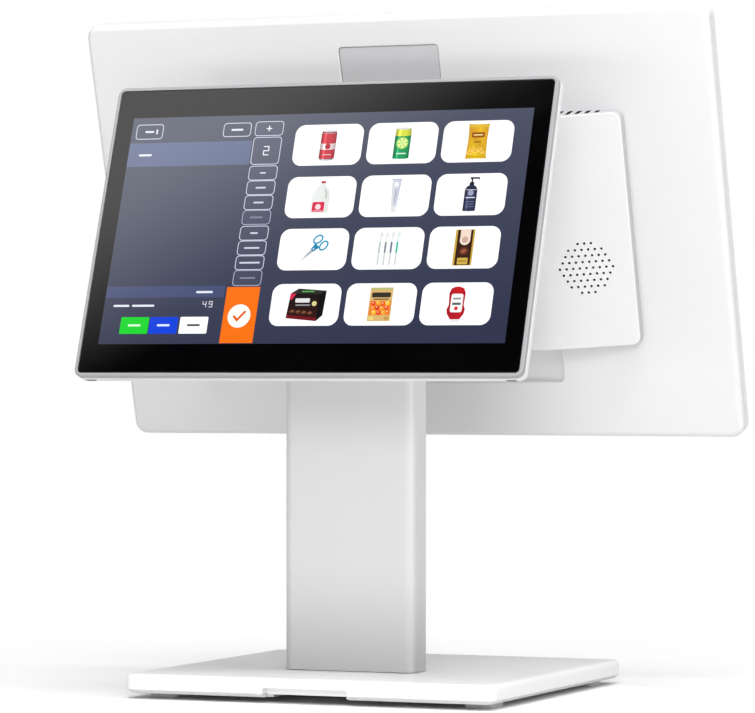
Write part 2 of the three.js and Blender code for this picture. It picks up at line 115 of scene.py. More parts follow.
def slab_rings(w, h, r, d0, d1, f0=0.0, f1=0.0, cx=0.0, cy=0.0, n0=5, n1=6):
    """Rings of a rounded slab from d0 to d1 with a fillet at each end. A negative
    fillet flares outwards, for the mouth of a cutter."""
    s = 1.0 if d1 > d0 else -1.0
    out = []

    def end(d, f, k, sgn, rev):
        rows = []
        if f == 0:
            rows.append((w, h, r, d, cx, cy))
        else:
            g = abs(f)
            for i in range(k + 1):
                a = math.pi / 2 * i / k
                ins = g * (1 - math.sin(a)) * (1 if f > 0 else -1)
                rows.append((w - 2 * ins, h - 2 * ins, max(r - ins, 0.05),
                             d + sgn * g * (1 - math.cos(a)), cx, cy))
        return rows[::-1] if rev else rows
    out += end(d0, f0, n0, s, False)
    out += end(d1, f1, n1, -s, True)
    return out


def finish_bm(bm, name):
    bmesh.ops.recalc_face_normals(bm, faces=bm.faces)
    me = bpy.data.meshes.new(name)
    bm.to_mesh(me)
    bm.free()
    o = bpy.data.objects.new(name, me)
    bpy.context.scene.collection.objects.link(o)
    return o


def slab(name, w, h, r, d0, d1, f0=0.0, f1=0.0, cx=0.0, cy=0.0, plane="Z", n=8, n0=5, n1=6):
    bm = bmesh.new()
    add_loft(bm, slab_rings(w, h, r, d0, d1, f0, f1, cx, cy, n0, n1), plane, n)
    return finish_bm(bm, name)


def loft(name, rings, plane="Z", n=8):
    bm = bmesh.new()
    add_loft(bm, rings, plane, n)
    return finish_bm(bm, name)


def add_box(bm, x0, x1, y0, y1, z0, z1):
    v = [bm.verts.new(p) for p in ((x0, y0, z0), (x1, y0, z0), (x1, y1, z0), (x0, y1, z0),
                                   (x0, y0, z1), (x1, y0, z1), (x1, y1, z1), (x0, y1, z1))]
    for f in ((3, 2, 1, 0), (4, 5, 6, 7), (0, 1, 5, 4), (1, 2, 6, 5), (2, 3, 7, 6), (3, 0, 4, 7)):
        bm.faces.new([v[i] for i in f])


def add_cyl(bm, plane, cx, cy, r, d0, d1, seg=16, r1=None):
    r1 = r if r1 is None else r1
    a = [bm.verts.new(emb(plane, cx + r * math.cos(2 * math.pi * i / seg),
                          cy + r * math.sin(2 * math.pi * i / seg), d0)) for i in range(seg)]
    b = [bm.verts.new(emb(plane, cx + r1 * math.cos(2 * math.pi * i / seg),
                          cy + r1 * math.sin(2 * math.pi * i / seg), d1)) for i in range(seg)]
    add_loops(bm, [a, b])


def boxes(name, items):
    bm = bmesh.new()
    for it in items:
        add_box(bm, *it)
    return finish_bm(bm, name)


def cyls(name, plane, items, seg=16):
    bm = bmesh.new()
    for cx, cy, r, d0, d1 in items:
        add_cyl(bm, plane, cx, cy, r, d0, d1, seg)
    return finish_bm(bm, name)


def lathe(name, profile, plane, cx, cy, seg=40, closed=False):
    """profile: (radius, d) points. Open profiles start and end on the axis."""
    bm = bmesh.new()
    rows = []
    for r, d in profile:
        if r < 1e-6:
            rows.append([bm.verts.new(emb(plane, cx, cy, d))])
        else:
            rows.append([bm.verts.new(emb(plane, cx + r * math.cos(2 * math.pi * i / seg),
                                          cy + r * math.sin(2 * math.pi * i / seg), d))
                         for i in range(seg)])
    pairs = list(zip(rows, rows[1:]))
    if closed:
        pairs.append((rows[-1], rows[0]))
    for a, b in pairs:
        if len(a) == 1 and len(b) == 1:
            continue
        for i in range(seg):
            j = (i + 1) % seg
            if len(a) == 1:
                bm.faces.new((a[0], b[j], b[i]))
            elif len(b) == 1:
                bm.faces.new((a[i], a[j], b[0]))
            else:
                bm.faces.new((a[i], a[j], b[j], b[i]))
    return finish_bm(bm, name)


def prism(name, pts, plane, d0, d1, bevel=0.0, seg=3):
    """A polygon pushed from d0 to d1, both rims rounded."""
    bm = bmesh.new()
    a = [bm.verts.new(emb(plane, x, y, d0)) for x, y in pts]
    b = [bm.verts.new(emb(plane, x, y, d1)) for x, y in pts]
    add_loops(bm, [a, b])
    bmesh.ops.recalc_face_normals(bm, faces=bm.faces)
    if bevel > 0:
        rims = [e for e in bm.edges if (e.verts[0] in a and e.verts[1] in a)
                or (e.verts[0] in b and e.verts[1] in b)]
        bmesh.ops.bevel(bm, geom=rims, offset=bevel, segments=seg, profile=0.5, affect="EDGES",
                        clamp_overlap=True)
    return finish_bm(bm, name)


def boolean(o, cutters, op="DIFFERENCE"):
    for c in cutters:
        m = o.modifiers.new("b", "BOOLEAN")
        m.operation = op
        m.solver = "EXACT"
        m.object = c
    bpy.context.view_layer.update()
    dg = bpy.context.evaluated_depsgraph_get()
    me = bpy.data.meshes.new_from_object(o.evaluated_get(dg), depsgraph=dg)
    o.modifiers.clear()
    old, o.data = o.data, me
    me.name = o.name
    assert len(me.polygons), f"{o.name}: the boolean left nothing"
    bpy.data.meshes.remove(old)
    for c in cutters:
        d = c.data
        bpy.data.objects.remove(c)
        bpy.data.meshes.remove(d)
    return o


def put(o, matrix, body, material, slot, *nodes, smooth=32.0, weighted=True):
    """Brings a finished piece into the row frame, shades it and hangs it on its body."""
    me = o.data
    me.transform(matrix)
    me.materials.clear()
    me.materials.append(material)
    me.polygons.foreach_set("use_smooth", [True] * len(me.polygons))
    me.polygons.foreach_set("material_index", [0] * len(me.polygons))
    me.set_sharp_from_angle(angle=rad(smooth))
    if weighted:
        w = o.modifiers.new("normals", "WEIGHTED_NORMAL")
        w.keep_sharp = True
        w.weight = 60
    me.update()
    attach(o, body)
    if nodes:
        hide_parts(*nodes)
    return o


# ------------------------------------------------------------------ materials
def lin(c):
    c = c / 255.0
    return c / 12.92 if c <= 0.04045 else ((c + 0.055) / 1.055) ** 2.4


def rgb(r, g, b):
    return (lin(r), lin(g), lin(b), 1.0)


def nodes_of(name):
    m = bpy.data.materials.new(name)
    m.use_nodes = True
    nt = m.node_tree
    nt.nodes.clear()
    out = nt.nodes.new("ShaderNodeOutputMaterial")
    p = nt.nodes.new("ShaderNodeBsdfPrincipled")
    nt.links.new(p.outputs[0], out.inputs[0])
    return m, nt, p


def noise(nt, vec, scale, detail=3.0, rough=0.5):
    n = nt.nodes.new("ShaderNodeTexNoise")
    n.inputs["Scale"].default_value = scale
    n.inputs["Detail"].default_value = detail
    n.inputs["Roughness"].default_value = rough
    nt.links.new(vec, n.inputs["Vector"])
    return n.outputs[0]


def remap(nt, val, a, b, c, d):
    n = nt.nodes.new("ShaderNodeMapRange")
    n.inputs[1].default_value, n.inputs[2].default_value = a, b
    n.inputs[3].default_value, n.inputs[4].default_value = c, d
    nt.links.new(val, n.inputs[0])
    return n.outputs[0]


def mathn(nt, op, a, b):
    n = nt.nodes.new("ShaderNodeMath")
    n.operation = op
    for k, v in enumerate((a, b)):
        if isinstance(v, (int, float)):
            n.inputs[k].default_value = v
        else:
            nt.links.new(v, n.inputs[k])
    return n.outputs[0]


def mixc(nt, fac, a, b, mode="MIX"):
    n = nt.nodes.new("ShaderNodeMix")
    n.data_type = "RGBA"
    n.blend_type = mode
    for sock, v in ((n.inputs[0], fac), (n.inputs[6], a), (n.inputs[7], b)):
        if isinstance(v, (int, float)):
            sock.default_value = v
        elif isinstance(v, tuple):
            sock.default_value = v
        else:
            nt.links.new(v, sock)
    return n.outputs[2]


def surface(name, color, rough, grain=2600.0, bump=0.12, depth=0.00004, spread=0.06,
            vary=0.03, metallic=0.0, coat=0.0, coat_rough=0.1, wear=0.0, wear_color=None,
            spec=0.5, stretch=None, mottle=9.0, foot_shade=0.0):
    """A moulded, painted or metal surface: fine grain in the bump, cloudy changes of
    tone and gloss, and a little wear along the edges."""
    m, nt, p = nodes_of(name)
    tc = nt.nodes.new("ShaderNodeTexCoord")
    vec = tc.outputs["Object"]
    if stretch:
        mp = nt.nodes.new("ShaderNodeMapping")
        mp.inputs["Scale"].default_value = stretch
        nt.links.new(vec, mp.inputs["Vector"])
        fine_vec = mp.outputs[0]
    else:
        fine_vec = vec
    fine = noise(nt, fine_vec, grain, 2.0, 0.6)
    cloud = noise(nt, vec, mottle, 4.0, 0.55)
    smear = noise(nt, vec, mottle * 7.0, 3.0, 0.6)
    rub = noise(nt, vec, mottle * 3.1, 5.0, 0.7)
    edge = mathn(nt, "MULTIPLY", remap(nt, rub, 0.56, 0.74, 0.0, 1.0), remap(nt, smear, 0.35, 0.7, 0.35, 1.0))
    dark = tuple(c * (1 - vary) for c in color[:3]) + (1.0,)
    light = tuple(min(c * (1 + vary), 1.0) for c in color[:3]) + (1.0,)
    base = mixc(nt, remap(nt, cloud, 0.3, 0.7, 0.0, 1.0), dark, light)
    speck = remap(nt, fine, 0.3, 0.7, 1 - vary * 0.6, 1 + vary * 0.6)
    grey = nt.nodes.new("ShaderNodeCombineColor")
    for k in range(3):
        nt.links.new(speck, grey.inputs[k])
    base = mixc(nt, 1.0, base, grey.outputs[0], "MULTIPLY")
    if wear > 0:
        wc = wear_color or tuple(min(c * 1.08, 1.0) for c in color[:3]) + (1.0,)
        base = mixc(nt, mathn(nt, "MULTIPLY", edge, wear * 8 if wear_color is None else wear), base, wc)
    if foot_shade > 0:
        # painted shade: the colour darkens towards the bottom, down in the corner with the base, where the base
        # shades the column
        sep = nt.nodes.new("ShaderNodeSeparateXYZ")
        nt.links.new(vec, sep.inputs[0])
        h = nt.nodes.new("ShaderNodeMapRange")
        h.interpolation_type = "SMOOTHSTEP"
        h.inputs[1].default_value, h.inputs[2].default_value = 0.0, 0.075
        h.inputs[3].default_value, h.inputs[4].default_value = foot_shade, 0.0
        nt.links.new(sep.outputs[2], h.inputs[0])
        base = mixc(nt, h.outputs[0], base, (0.05, 0.05, 0.05, 1.0))
    nt.links.new(base, p.inputs["Base Color"])
    r = remap(nt, smear, 0.3, 0.7, max(rough - spread, 0.02), rough + spread)
    r = mathn(nt, "SUBTRACT", r, mathn(nt, "MULTIPLY", edge, wear * 0.8))
    nt.links.new(r, p.inputs["Roughness"])
    p.inputs["Metallic"].default_value = metallic
    p.inputs["Specular IOR Level"].default_value = spec
    p.inputs["Coat Weight"].default_value = coat
    p.inputs["Coat Roughness"].default_value = coat_rough
    b = nt.nodes.new("ShaderNodeBump")
    b.inputs["Strength"].default_value = bump
    b.inputs["Distance"].default_value = depth
    nt.links.new(fine, b.inputs["Height"])
    nt.links.new(b.outputs[0], p.inputs["Normal"])
    return m


WHITE_SHELL = surface("white_shell_plastic", rgb(232, 232, 233), 0.42, grain=2400, bump=0.14, vary=0.006)
WHITE_PAINT = surface("white_powder_coat", rgb(246, 246, 247), 0.36, grain=1500, bump=0.16,
                      depth=0.00006, vary=0.006)
# painted shade: the rear box's side, top and bottom walls are drawn greyer than its face, standing in for the
# shade on them
BOX_SIDE_SHADE = surface("box_side_painted_shade", rgb(190, 190, 192), 0.45, grain=3000, bump=0.15, vary=0.008)
PALE_TRIM = surface("pale_trim_plastic", rgb(160, 160, 162), 0.34, grain=3000, bump=0.12, vary=0.015)
DOOR_GREY = surface("service_door_plastic", rgb(204, 204, 206), 0.42, grain=2400, bump=0.22, vary=0.015)
ALU = surface("blasted_aluminium", rgb(196, 198, 201), 0.42, grain=3200, bump=0.35, metallic=1.0,
              vary=0.03, wear=0.05)
ZINC = surface("zinc_plated_steel", rgb(190, 192, 196), 0.30, grain=900, bump=0.08, metallic=1.0,
               vary=0.07, spread=0.10, mottle=60.0)
DARK_COAT = surface("dark_powder_coat", rgb(62, 64, 68), 0.46, grain=1500, bump=0.35,
                    depth=0.00006, vary=0.06, wear=0.25, wear_color=rgb(150, 152, 156))
PHOSPHATE = surface("phosphated_steel", rgb(46, 47, 50), 0.55, grain=1800, bump=0.3, metallic=0.6,
                    vary=0.15, mottle=40.0)
RUBBER = surface("foot_rubber", rgb(205, 206, 207), 0.78, grain=2200, bump=0.5, vary=0.05, spec=0.3)
BLACK_PLASTIC = surface("black_connector_plastic", rgb(26, 26, 28), 0.42, grain=2600, bump=0.25, vary=0.12)
PLUG_GREY = surface("edge_plug_rubber", rgb(126, 127, 129), 0.6, grain=2600, bump=0.3, vary=0.06)
# painted shade: near-black for the box's inner faces and the walls of its vent slots and speaker holes, where
# shade falls
RECESS_SHADE = surface("recess_painted_shade", rgb(34, 35, 37), 0.7, grain=1600, bump=0.3, vary=0.08)
MODULE = surface("display_module", rgb(52, 53, 56), 0.5, grain=2000, bump=0.2, vary=0.08)
CLOTH = surface("speaker_cloth", rgb(15, 15, 16), 0.9, grain=3500, bump=0.6, vary=0.2, spec=0.1)
SPEAKER = surface("speaker_box", rgb(20, 20, 22), 0.6, grain=1800, bump=0.4, vary=0.15)
SHEET_ALU = surface("rolled_aluminium", rgb(186, 188, 190), 0.36, grain=500, bump=0.2, metallic=1.0,
                    stretch=(1.0, 8.0, 8.0), vary=0.05)
KEY = surface("key_cap_plastic", rgb(205, 206, 209), 0.36, grain=2800, bump=0.15, vary=0.02)
GOLD = surface("gold_contacts", rgb(212, 170, 82), 0.28, grain=900, bump=0.05, metallic=1.0, vary=0.05)
USB_BLUE = surface("usb_tongue", rgb(24, 66, 150), 0.4, grain=2600, bump=0.2, vary=0.06)


def board_material():
    m, nt, p = nodes_of("circuit_board")
    tc = nt.nodes.new("ShaderNodeTexCoord")
    v = nt.nodes.new("ShaderNodeTexVoronoi")
    v.feature = "DISTANCE_TO_EDGE"
    v.distance = "MANHATTAN"
    v.inputs["Scale"].default_value = 420.0
    nt.links.new(tc.outputs["Object"], v.inputs["Vector"])
    tracks = remap(nt, v.outputs["Distance"], 0.05, 0.09, 1.0, 0.0)
    cloud = noise(nt, tc.outputs["Object"], 90.0, 3.0)
    base = mixc(nt, remap(nt, cloud, 0.3, 0.7, 0.0, 1.0), rgb(14, 62, 36), rgb(20, 84, 48))
    base = mixc(nt, mathn(nt, "MULTIPLY", tracks, 0.6), base, rgb(44, 122, 70))
    nt.links.new(base, p.inputs["Base Color"])
    nt.links.new(remap(nt, cloud, 0.3, 0.7, 0.32, 0.5), p.inputs["Roughness"])
    b = nt.nodes.new("ShaderNodeBump")
    b.inputs["Strength"].default_value = 0.3
    b.inputs["Distance"].default_value = 0.00005
    nt.links.new(tracks, b.inputs["Height"])
    nt.links.new(b.outputs[0], p.inputs["Normal"])
    return m


BOARD = board_material()


def glass_material():
    """Cover glass printed black behind: one glossy face, slight orange peel in the
    reflection and faint smears in the gloss."""
    m, nt, p = nodes_of("black_cover_glass")
    tc = nt.nodes.new("ShaderNodeTexCoord")
    smear = noise(nt, tc.outputs["Object"], 26.0, 5.0, 0.62)
    fine = noise(nt, tc.outputs["Object"], 700.0, 2.0, 0.5)
    base = mixc(nt, remap(nt, smear, 0.3, 0.7, 0.0, 1.0), rgb(3, 3, 4), rgb(5, 5, 6))
    nt.links.new(base, p.inputs["Base Color"])
    nt.links.new(remap(nt, smear, 0.35, 0.75, 0.035, 0.10), p.inputs["Roughness"])
    p.inputs["IOR"].default_value = 1.5
    b = nt.nodes.new("ShaderNodeBump")
    b.inputs["Strength"].default_value = 0.02
    b.inputs["Distance"].default_value = 0.00002
    nt.links.new(fine, b.inputs["Height"])
    nt.links.new(b.outputs[0], p.inputs["Normal"])
    return m


GLASS = glass_material()


def screen_material():
    """The lit picture under the glass: the colours are held by the mesh, a fine pixel
    grid dims them a little, and the gloss is the glass's own."""
    m, nt, p = nodes_of("lit_screen")
    at = nt.nodes.new("ShaderNodeAttribute")
    at.attribute_name = "tint"
    tc = nt.nodes.new("ShaderNodeTexCoord")
    w = nt.nodes.new("ShaderNodeTexWave")
    w.wave_type = "BANDS"
    w.bands_direction = "X"
    w.inputs["Scale"].default_value = 700.0
    nt.links.new(tc.outputs["Object"], w.inputs["Vector"])
    smear = noise(nt, tc.outputs["Object"], 26.0, 5.0, 0.62)
    grid = remap(nt, w.outputs["Fac"], 0.0, 1.0, 0.975, 1.0)
    k = nt.nodes.new("ShaderNodeCombineColor")
    for i in range(3):
        nt.links.new(grid, k.inputs[i])
    col = mixc(nt, 1.0, at.outputs["Color"], k.outputs[0], "MULTIPLY")
    dim = mixc(nt, 1.0, col, (0.10, 0.10, 0.10, 1.0), "MULTIPLY")
    nt.links.new(dim, p.inputs["Base Color"])
    nt.links.new(col, p.inputs["Emission Color"])
    p.inputs["Emission Strength"].default_value = 1.0
    nt.links.new(remap(nt, smear, 0.35, 0.75, 0.035, 0.10), p.inputs["Roughness"])
    p.inputs["IOR"].default_value = 1.5
    return m


SCREEN = screen_material()


# ------------------------------------------------------------------ screws
def screw(name, matrix, body, plane, cx, cy, top, under, end, head_r, shank_r, node):
    """Pan head with a cross recess. top, under and end run along the plane's normal."""
    s = 1.0 if under > top else -1.0
    h = abs(under - top)
    prof = [(0.0, top)]
    for i in range(1, 7):
        a = rad(90.0 * i / 6)
        prof.append((head_r * math.sin(a) * 0.92 + head_r * 0.08 * (i / 6),
                     top + s * h * 0.75 * (1 - math.cos(a))))
    prof += [(head_r, under), (shank_r, under)]
    turns = 5
    pitch = (abs(end - under) - 0.8) / turns
    d = abs(under - end) * 0 + 0.4
    for i in range(turns):
        prof += [(shank_r, under + s * (d + pitch * (i + 0.1))),
                 (shank_r * 0.84, under + s * (d + pitch * (i + 0.6)))]
    prof += [(shank_r * 0.6, end), (0.0, end)]
    o = lathe(name, prof, plane, cx, cy, 28)
    bm = bmesh.new()
    k, t, dep = head_r * 0.55, head_r * 0.13, h * 0.55
    plus = [(-t, -k), (t, -k), (t, -t), (k, -t), (k, t), (t, t),
            (t, k), (-t, k), (-t, t), (-k, t), (-k, -t), (-t, -t)]
    add_loops(bm, [[bm.verts.new(emb(plane, cx + x, cy + y, d)) for x, y in plus]
                   for d in (top - s * 0.5, top + s * dep)])
    boolean(o, [finish_bm(bm, name + "_cross")])
    return put(o, matrix, body, ZINC, "fastener_steel", node)


# ------------------------------------------------------------------ stand
def rounded_cut(name, w, h, r, d0, d1, surface_at, flare, cx=0.0, cy=0.0, plane="Y", floor=0.0, n=8):
    """A cutter that enters a face at surface_at and rounds the mouth's edge there."""
    s = 1.0 if d1 > d0 else -1.0
    rows = [(w + 2 * flare, h + 2 * flare, r + flare, d0, cx, cy)]
    for i in range(6):
        a = math.pi / 2 * i / 5
        off = flare * (1 - math.sin(a))
        rows.append((w + 2 * off, h + 2 * off, r + off, surface_at + s * flare * (1 - math.cos(a)), cx, cy))
    if floor > 0:
        for i in range(6):
            a = math.pi / 2 * i / 5
            ins = floor * (1 - math.cos(a))
            rows.append((w - 2 * ins, h - 2 * ins, max(r - ins, 0.05),
                         d1 - s * floor * (1 - math.sin(a)), cx, cy))
    else:
        rows.append((w, h, r, d1, cx, cy))
    return loft(name, rows, plane, n)


def build_stand():
    W, F, B = 203.2, -98.5, 96.3
    D, cy = B - F, (B + F) / 2
    n = 23.2
    cover = slab("base_cover_shell", W, D, 6.0, 4.94, 12.9, 0.12, 3.0, cy=cy, n=10, n0=3, n1=8)
    boolean(cover, [slab("c1", W - 5.0, D - 5.0, 3.6, 3.0, 11.4, cy=cy, n=6),
                    slab("c2", 62.0, 15.8, 1.5, 9.0, 15.0, cy=-31.9, n=4)])
    boolean(cover, [boxes("u", [(-n - 1.5, n + 1.5, F + 1.0, F + 6.5, 5.0, 11.6)])], "UNION")
    boolean(cover, [boxes("u", [(-n + 0.4, n - 0.4, F + 5.0, F + 6.5, 4.5, 5.5)])], "UNION")
    boolean(cover, [rounded_cut("c3", 2 * n, 9.6, 0.9, F - 3.0, F + 5.0, F, 0.35, 0.0, 3.0, n=5)])
    put(cover, STAND, "stand", WHITE_PAINT, "white_paint", "base_top_cover")

    plate = loft("base_under_plate", [
        (W - 5.4, D - 5.4, 3.6, 3.0, 0, cy), (W - 4.4, D - 4.4, 4.0, 3.12, 0, cy),
        (W - 3.6, D - 3.6, 4.3, 3.45, 0, cy),
        (W - 0.4, D - 0.4, 5.8, 4.62, 0, cy), (W - 0.1, D - 0.1, 5.95, 4.76, 0, cy),
        (W - 0.3, D - 0.3, 5.85, 4.86, 0, cy)], "Z", 10)
    screws = [(-60, -72), (60, -72), (-60, 72), (60, 72)]
    boolean(plate, [
        slab("c1", 40.0, 160.0, 2.0, 1.0, 7.0, cy=-95.0, n=4),
        slab("c2", 2 * n, 14.0, 0.8, 1.0, 7.0, cy=-98.5, n=4),
        cyls("c3", "Z", [(x, y, 2.4, 1.0, 7.0) for x, y in screws], 24),
    ])
    put(plate, STAND, "stand", WHITE_SHELL, "white_shell", "base_bottom_plate")

    for i, (x, y) in enumerate(screws):
        screw(f"base_fixing_{i + 1}", STAND, "stand", "Z", x, y, 1.3, 2.7, 8.5, 3.6, 2.0,
              f"base_screw_{i + 1}")

    fx, fy = W / 2 - 6.5 - 8, 73.0
    for a, sy in (("front", -1), ("rear", 1)):
        for b, sx in (("left", -1), ("right", 1)):
            f = slab(f"pad_{a}_{b}", 16, 16, 3.0, 2.7, 0.0, 0.2, 0.5, sx * fx, sy * fy, n=6, n0=2, n1=4)
            put(f, STAND, "stand", RUBBER, "foot_rubber", f"foot_{a}_{b}")

    # column
    cy = -31.7
    col = slab("column_extrusion", 72.6, 22, 5.0, 13.2, 221.5, 0.25, 0.6, cy=cy, n=12, n0=2, n1=4)
    boolean(col, [
        slab("c1", 67.6, 17, 2.5, 5, 235, cy=cy, n=6),
        slab("c2", 56, 8, 0.6, 5, 235, cy=cy + 11.0, n=4),
    ])
    put(col, STAND, "stand", COLUMN_PAINT, "white_paint", "column_front_shell")
    rear = slab("column_cable_cover", 55.4, 190.8, 1.2, -22.9, -20.7, 0.25, 0.3,
                cy=(13.2 + 204) / 2, plane="Y", n=4, n0=2, n1=3)
    boolean(rear, [slab("c", 16, 4.4, 2.19, -21.7, -19, 0, 0, 0, 198.0, plane="Y", n=6)])
    put(rear, STAND, "stand", WHITE_SHELL, "white_shell", "column_rear_cover")

    # head: one bar, round front and back
    head = slab("column_head_bar", 73.8, 20, 10, -35, 35, 1.6, 1.6, cx=-27.1, cy=232, plane="X", n=14)
    boolean(head, [slab("u", 62, 6.0, 1.0, 200, 226, 0.5, 0, 0, -32.2, n=4)], "UNION")
    boolean(head, [cyls("c", "X", [(C_AXIS[0], 232, 4.35, -60, 60), (M_AXIS[0], 232, 4.35, -60, 60)], 40)])
    put(head, STAND, "stand", ALU, "bare_aluminium", "column_head")

    for who, (y, z) in (("customer", C_AXIS), ("main", M_AXIS)):
        prof = [(0, -42.9), (3.2, -42.9), (5.2, -42.75), (6.4, -42.3), (7.0, -41.4), (7.0, -40.5),
                (6.8, -40.4), (4.0, -40.4), (4.0, 40.4), (6.8, 40.4), (7.0, 40.5), (7.0, 41.4),
                (6.4, 42.3), (5.2, 42.75), (3.2, 42.9), (0, 42.9)]
        pin = lathe(f"{who}_tilt_pin", prof, "X", y, z, 48)
        hexa = bmesh.new()
        for d0, d1 in ((-45, -41.2), (41.2, 45)):
            add_cyl(hexa, "X", y, z, 2.9, d0, d1, 6)
        boolean(pin, [finish_bm(hexa, "hex")])
        put(pin, STAND, "stand", ZINC, "fastener_steel", f"{who}_hinge_pin")
        for side, s in (("left", -1), ("right", 1)):
            a, b = s * 35.3, s * 36.8
            p = [(4.35, a), (6.8, a), (7.0, a + s * 0.2), (7.0, b - s * 0.2), (6.8, b), (4.35, b)]
            w = lathe(f"{who}_tilt_washer_{side}", p, "X", y, z, 40, closed=True)
            put(w, STAND, "stand", ZINC, "fastener_steel", f"{who}_friction_washer_{side}")


# painted shade on the column: its colour darkens over the lowest 75 mm above the floor, where the base shades it
COLUMN_PAINT = surface("column_powder_coat", rgb(215, 215, 216), 0.36, grain=1500, bump=0.04,
                       depth=0.00003, vary=0.004, spread=0.02, foot_shade=0.47)


def arm_points(ay, az, r, plate, half):
    pts = []
    if ay > plate:
        pts.append((plate, az - half))
        for i in range(25):
            a = -math.pi / 2 + math.pi * i / 24
            pts.append((ay + r * math.cos(a), az + r * math.sin(a)))
        pts.append((plate, az + half))
    else:
        pts.append((plate, az + half))
        for i in range(25):
            a = math.pi / 2 + math.pi * i / 24
            pts.append((ay + r * math.cos(a), az + r * math.sin(a)))
        pts.append((plate, az - half))
    return pts


def ports_cut(items, n=3):
    bm = bmesh.new()
    for x0, x1, y0, y1, z0, z1 in items:
        add_loft(bm, [(x1 - x0, y1 - y0, 0.5, z0, (x0 + x1) / 2, (y0 + y1) / 2),
                      (x1 - x0, y1 - y0, 0.5, z1, (x0 + x1) / 2, (y0 + y1) / 2)], "Z", n)
    return finish_bm(bm, "ports")


# ------------------------------------------------------------------ customer display
def build_customer():
    W, H, R = 245.5, 160.3, 4.5
    B = "customer_display"
    fr = slab("customer_bezel", W, H, R, -0.2, 3.0, 1.0, 0.25, plane="Y", n=10, n0=6, n1=2)
    boolean(fr, [
        slab("c1", 241.7, 156.5, 2.3, -3, 1.4, plane="Y", n=8),
        slab("c2", 234, 149, 2.0, -5, 6, plane="Y", n=6),
    ])
    put(fr, CUST, B, PALE_TRIM, "pale_trim", "customer_front_frame")
    gl = slab("customer_cover_glass", 241.1, 155.9, 2.0, 0.0, 1.1, 0.3, 0.1, plane="Y", n=8, n0=3, n1=1)
    put(gl, CUST, B, GLASS, "cover_glass", "customer_glass")

    sh = slab("customer_rear_shell", W, H, R, 3.3, 10.0, 0.35, 3.6, plane="Y", n=10, n0=3, n1=8)
    boolean(sh, [slab("u", 120, 90, 8, 6.0, 12.3, 0, 1.8, 0, CAZ, plane="Y", n=8)], "UNION")
    holes = [(sx * 28, CAZ + sz * 22) for sx in (-1, 1) for sz in (-1, 1)]
    boolean(sh, [
        slab("c1", W - 4.4, H - 4.4, 2.6, 0, 8.2, plane="Y", n=6),
        cyls("c2", "Y", [(x, z, 1.9, 4, 20) for x, z in holes], 24),
        slab("c3", 6.0, 2.6, 1.0, -H / 2 - 3, -H / 2 + 4, cx=-115, cy=6.1, n=5),
        slab("c4", 6.0, 2.6, 1.0, -H / 2 - 3, -H / 2 + 4, cx=115, cy=6.1, n=5),
    ])
    put(sh, CUST, B, WHITE_SHELL, "white_shell", "customer_back_shell")
    for side, s in (("left", -1), ("right", 1)):
        pl = slab(f"customer_plug_{side}", 5.4, 2.0, 0.9, -H / 2 + 2.0, -H / 2 - 0.1, 0, 0.3,
                  s * 115, 6.1, n=5, n1=3)
        put(pl, CUST, B, PLUG_GREY, "connector_black", f"customer_edge_plug_{side}")

    p0, p1 = 12.6, 15.1
    mp = slab("customer_mounting_plate", 84, 60, 4, p0, p1, 0.3, 0.3, 0, CAZ, plane="Y", n=6, n0=2, n1=2)
    boolean(mp, [cyls("c", "Y", [(x, z, 1.9, 5, 20) for x, z in holes], 24),
                 slab("c2", 26, 16, 6, 5, 20, 0, 0, 0, CAZ, plane="Y", n=6)])
    put(mp, CUST, B, DARK_COAT, "bracket_steel", "customer_mount_plate")
    for side, s in (("left", -1), ("right", 1)):
        a, b = sorted((s * 37.1, s * 40.1))
        arm = prism(f"customer_tilt_arm_{side}", arm_points(CAY, CAZ, 8.0, p1 + 0.3, 19), "X", a, b, 0.45)
        boolean(arm, [cyls("c", "X", [(CAY, CAZ, 4.35, -60, 60)], 36)])
        put(arm, CUST, B, DARK_COAT, "bracket_steel", f"customer_hinge_arm_{side}")
    order = [(-28, CAZ - 22), (28, CAZ - 22), (-28, CAZ + 22), (28, CAZ + 22)]
    for i, (x, z) in enumerate(order):
        screw(f"customer_fixing_{i + 1}", CUST, B, "Y", x, z, p1 + 2.3, p1 + 0.3, 9.4, 3.0, 1.5,
              f"customer_screw_{i + 1}")


# ------------------------------------------------------------------ main unit
BOX_HALF, BOX_LOW, BOX_HIGH = 128.1, -62.7, 62.6
BOX_EDGE, BOX_DEEP, BOX_FLAT = 7.25, 19.0, 80.0


def box_depth(x, soft=5.0):
    """Depth of the rear box at x, with the crease of the shoulder eased over soft mm."""
    k = (BOX_DEEP - BOX_EDGE) / (BOX_HALF - BOX_FLAT)
    t = abs(x) - BOX_FLAT
    if t <= -soft:
        return BOX_DEEP
    if t >= soft:
        return BOX_DEEP - k * t
    return BOX_DEEP - k * (t + soft) ** 2 / (4 * soft)


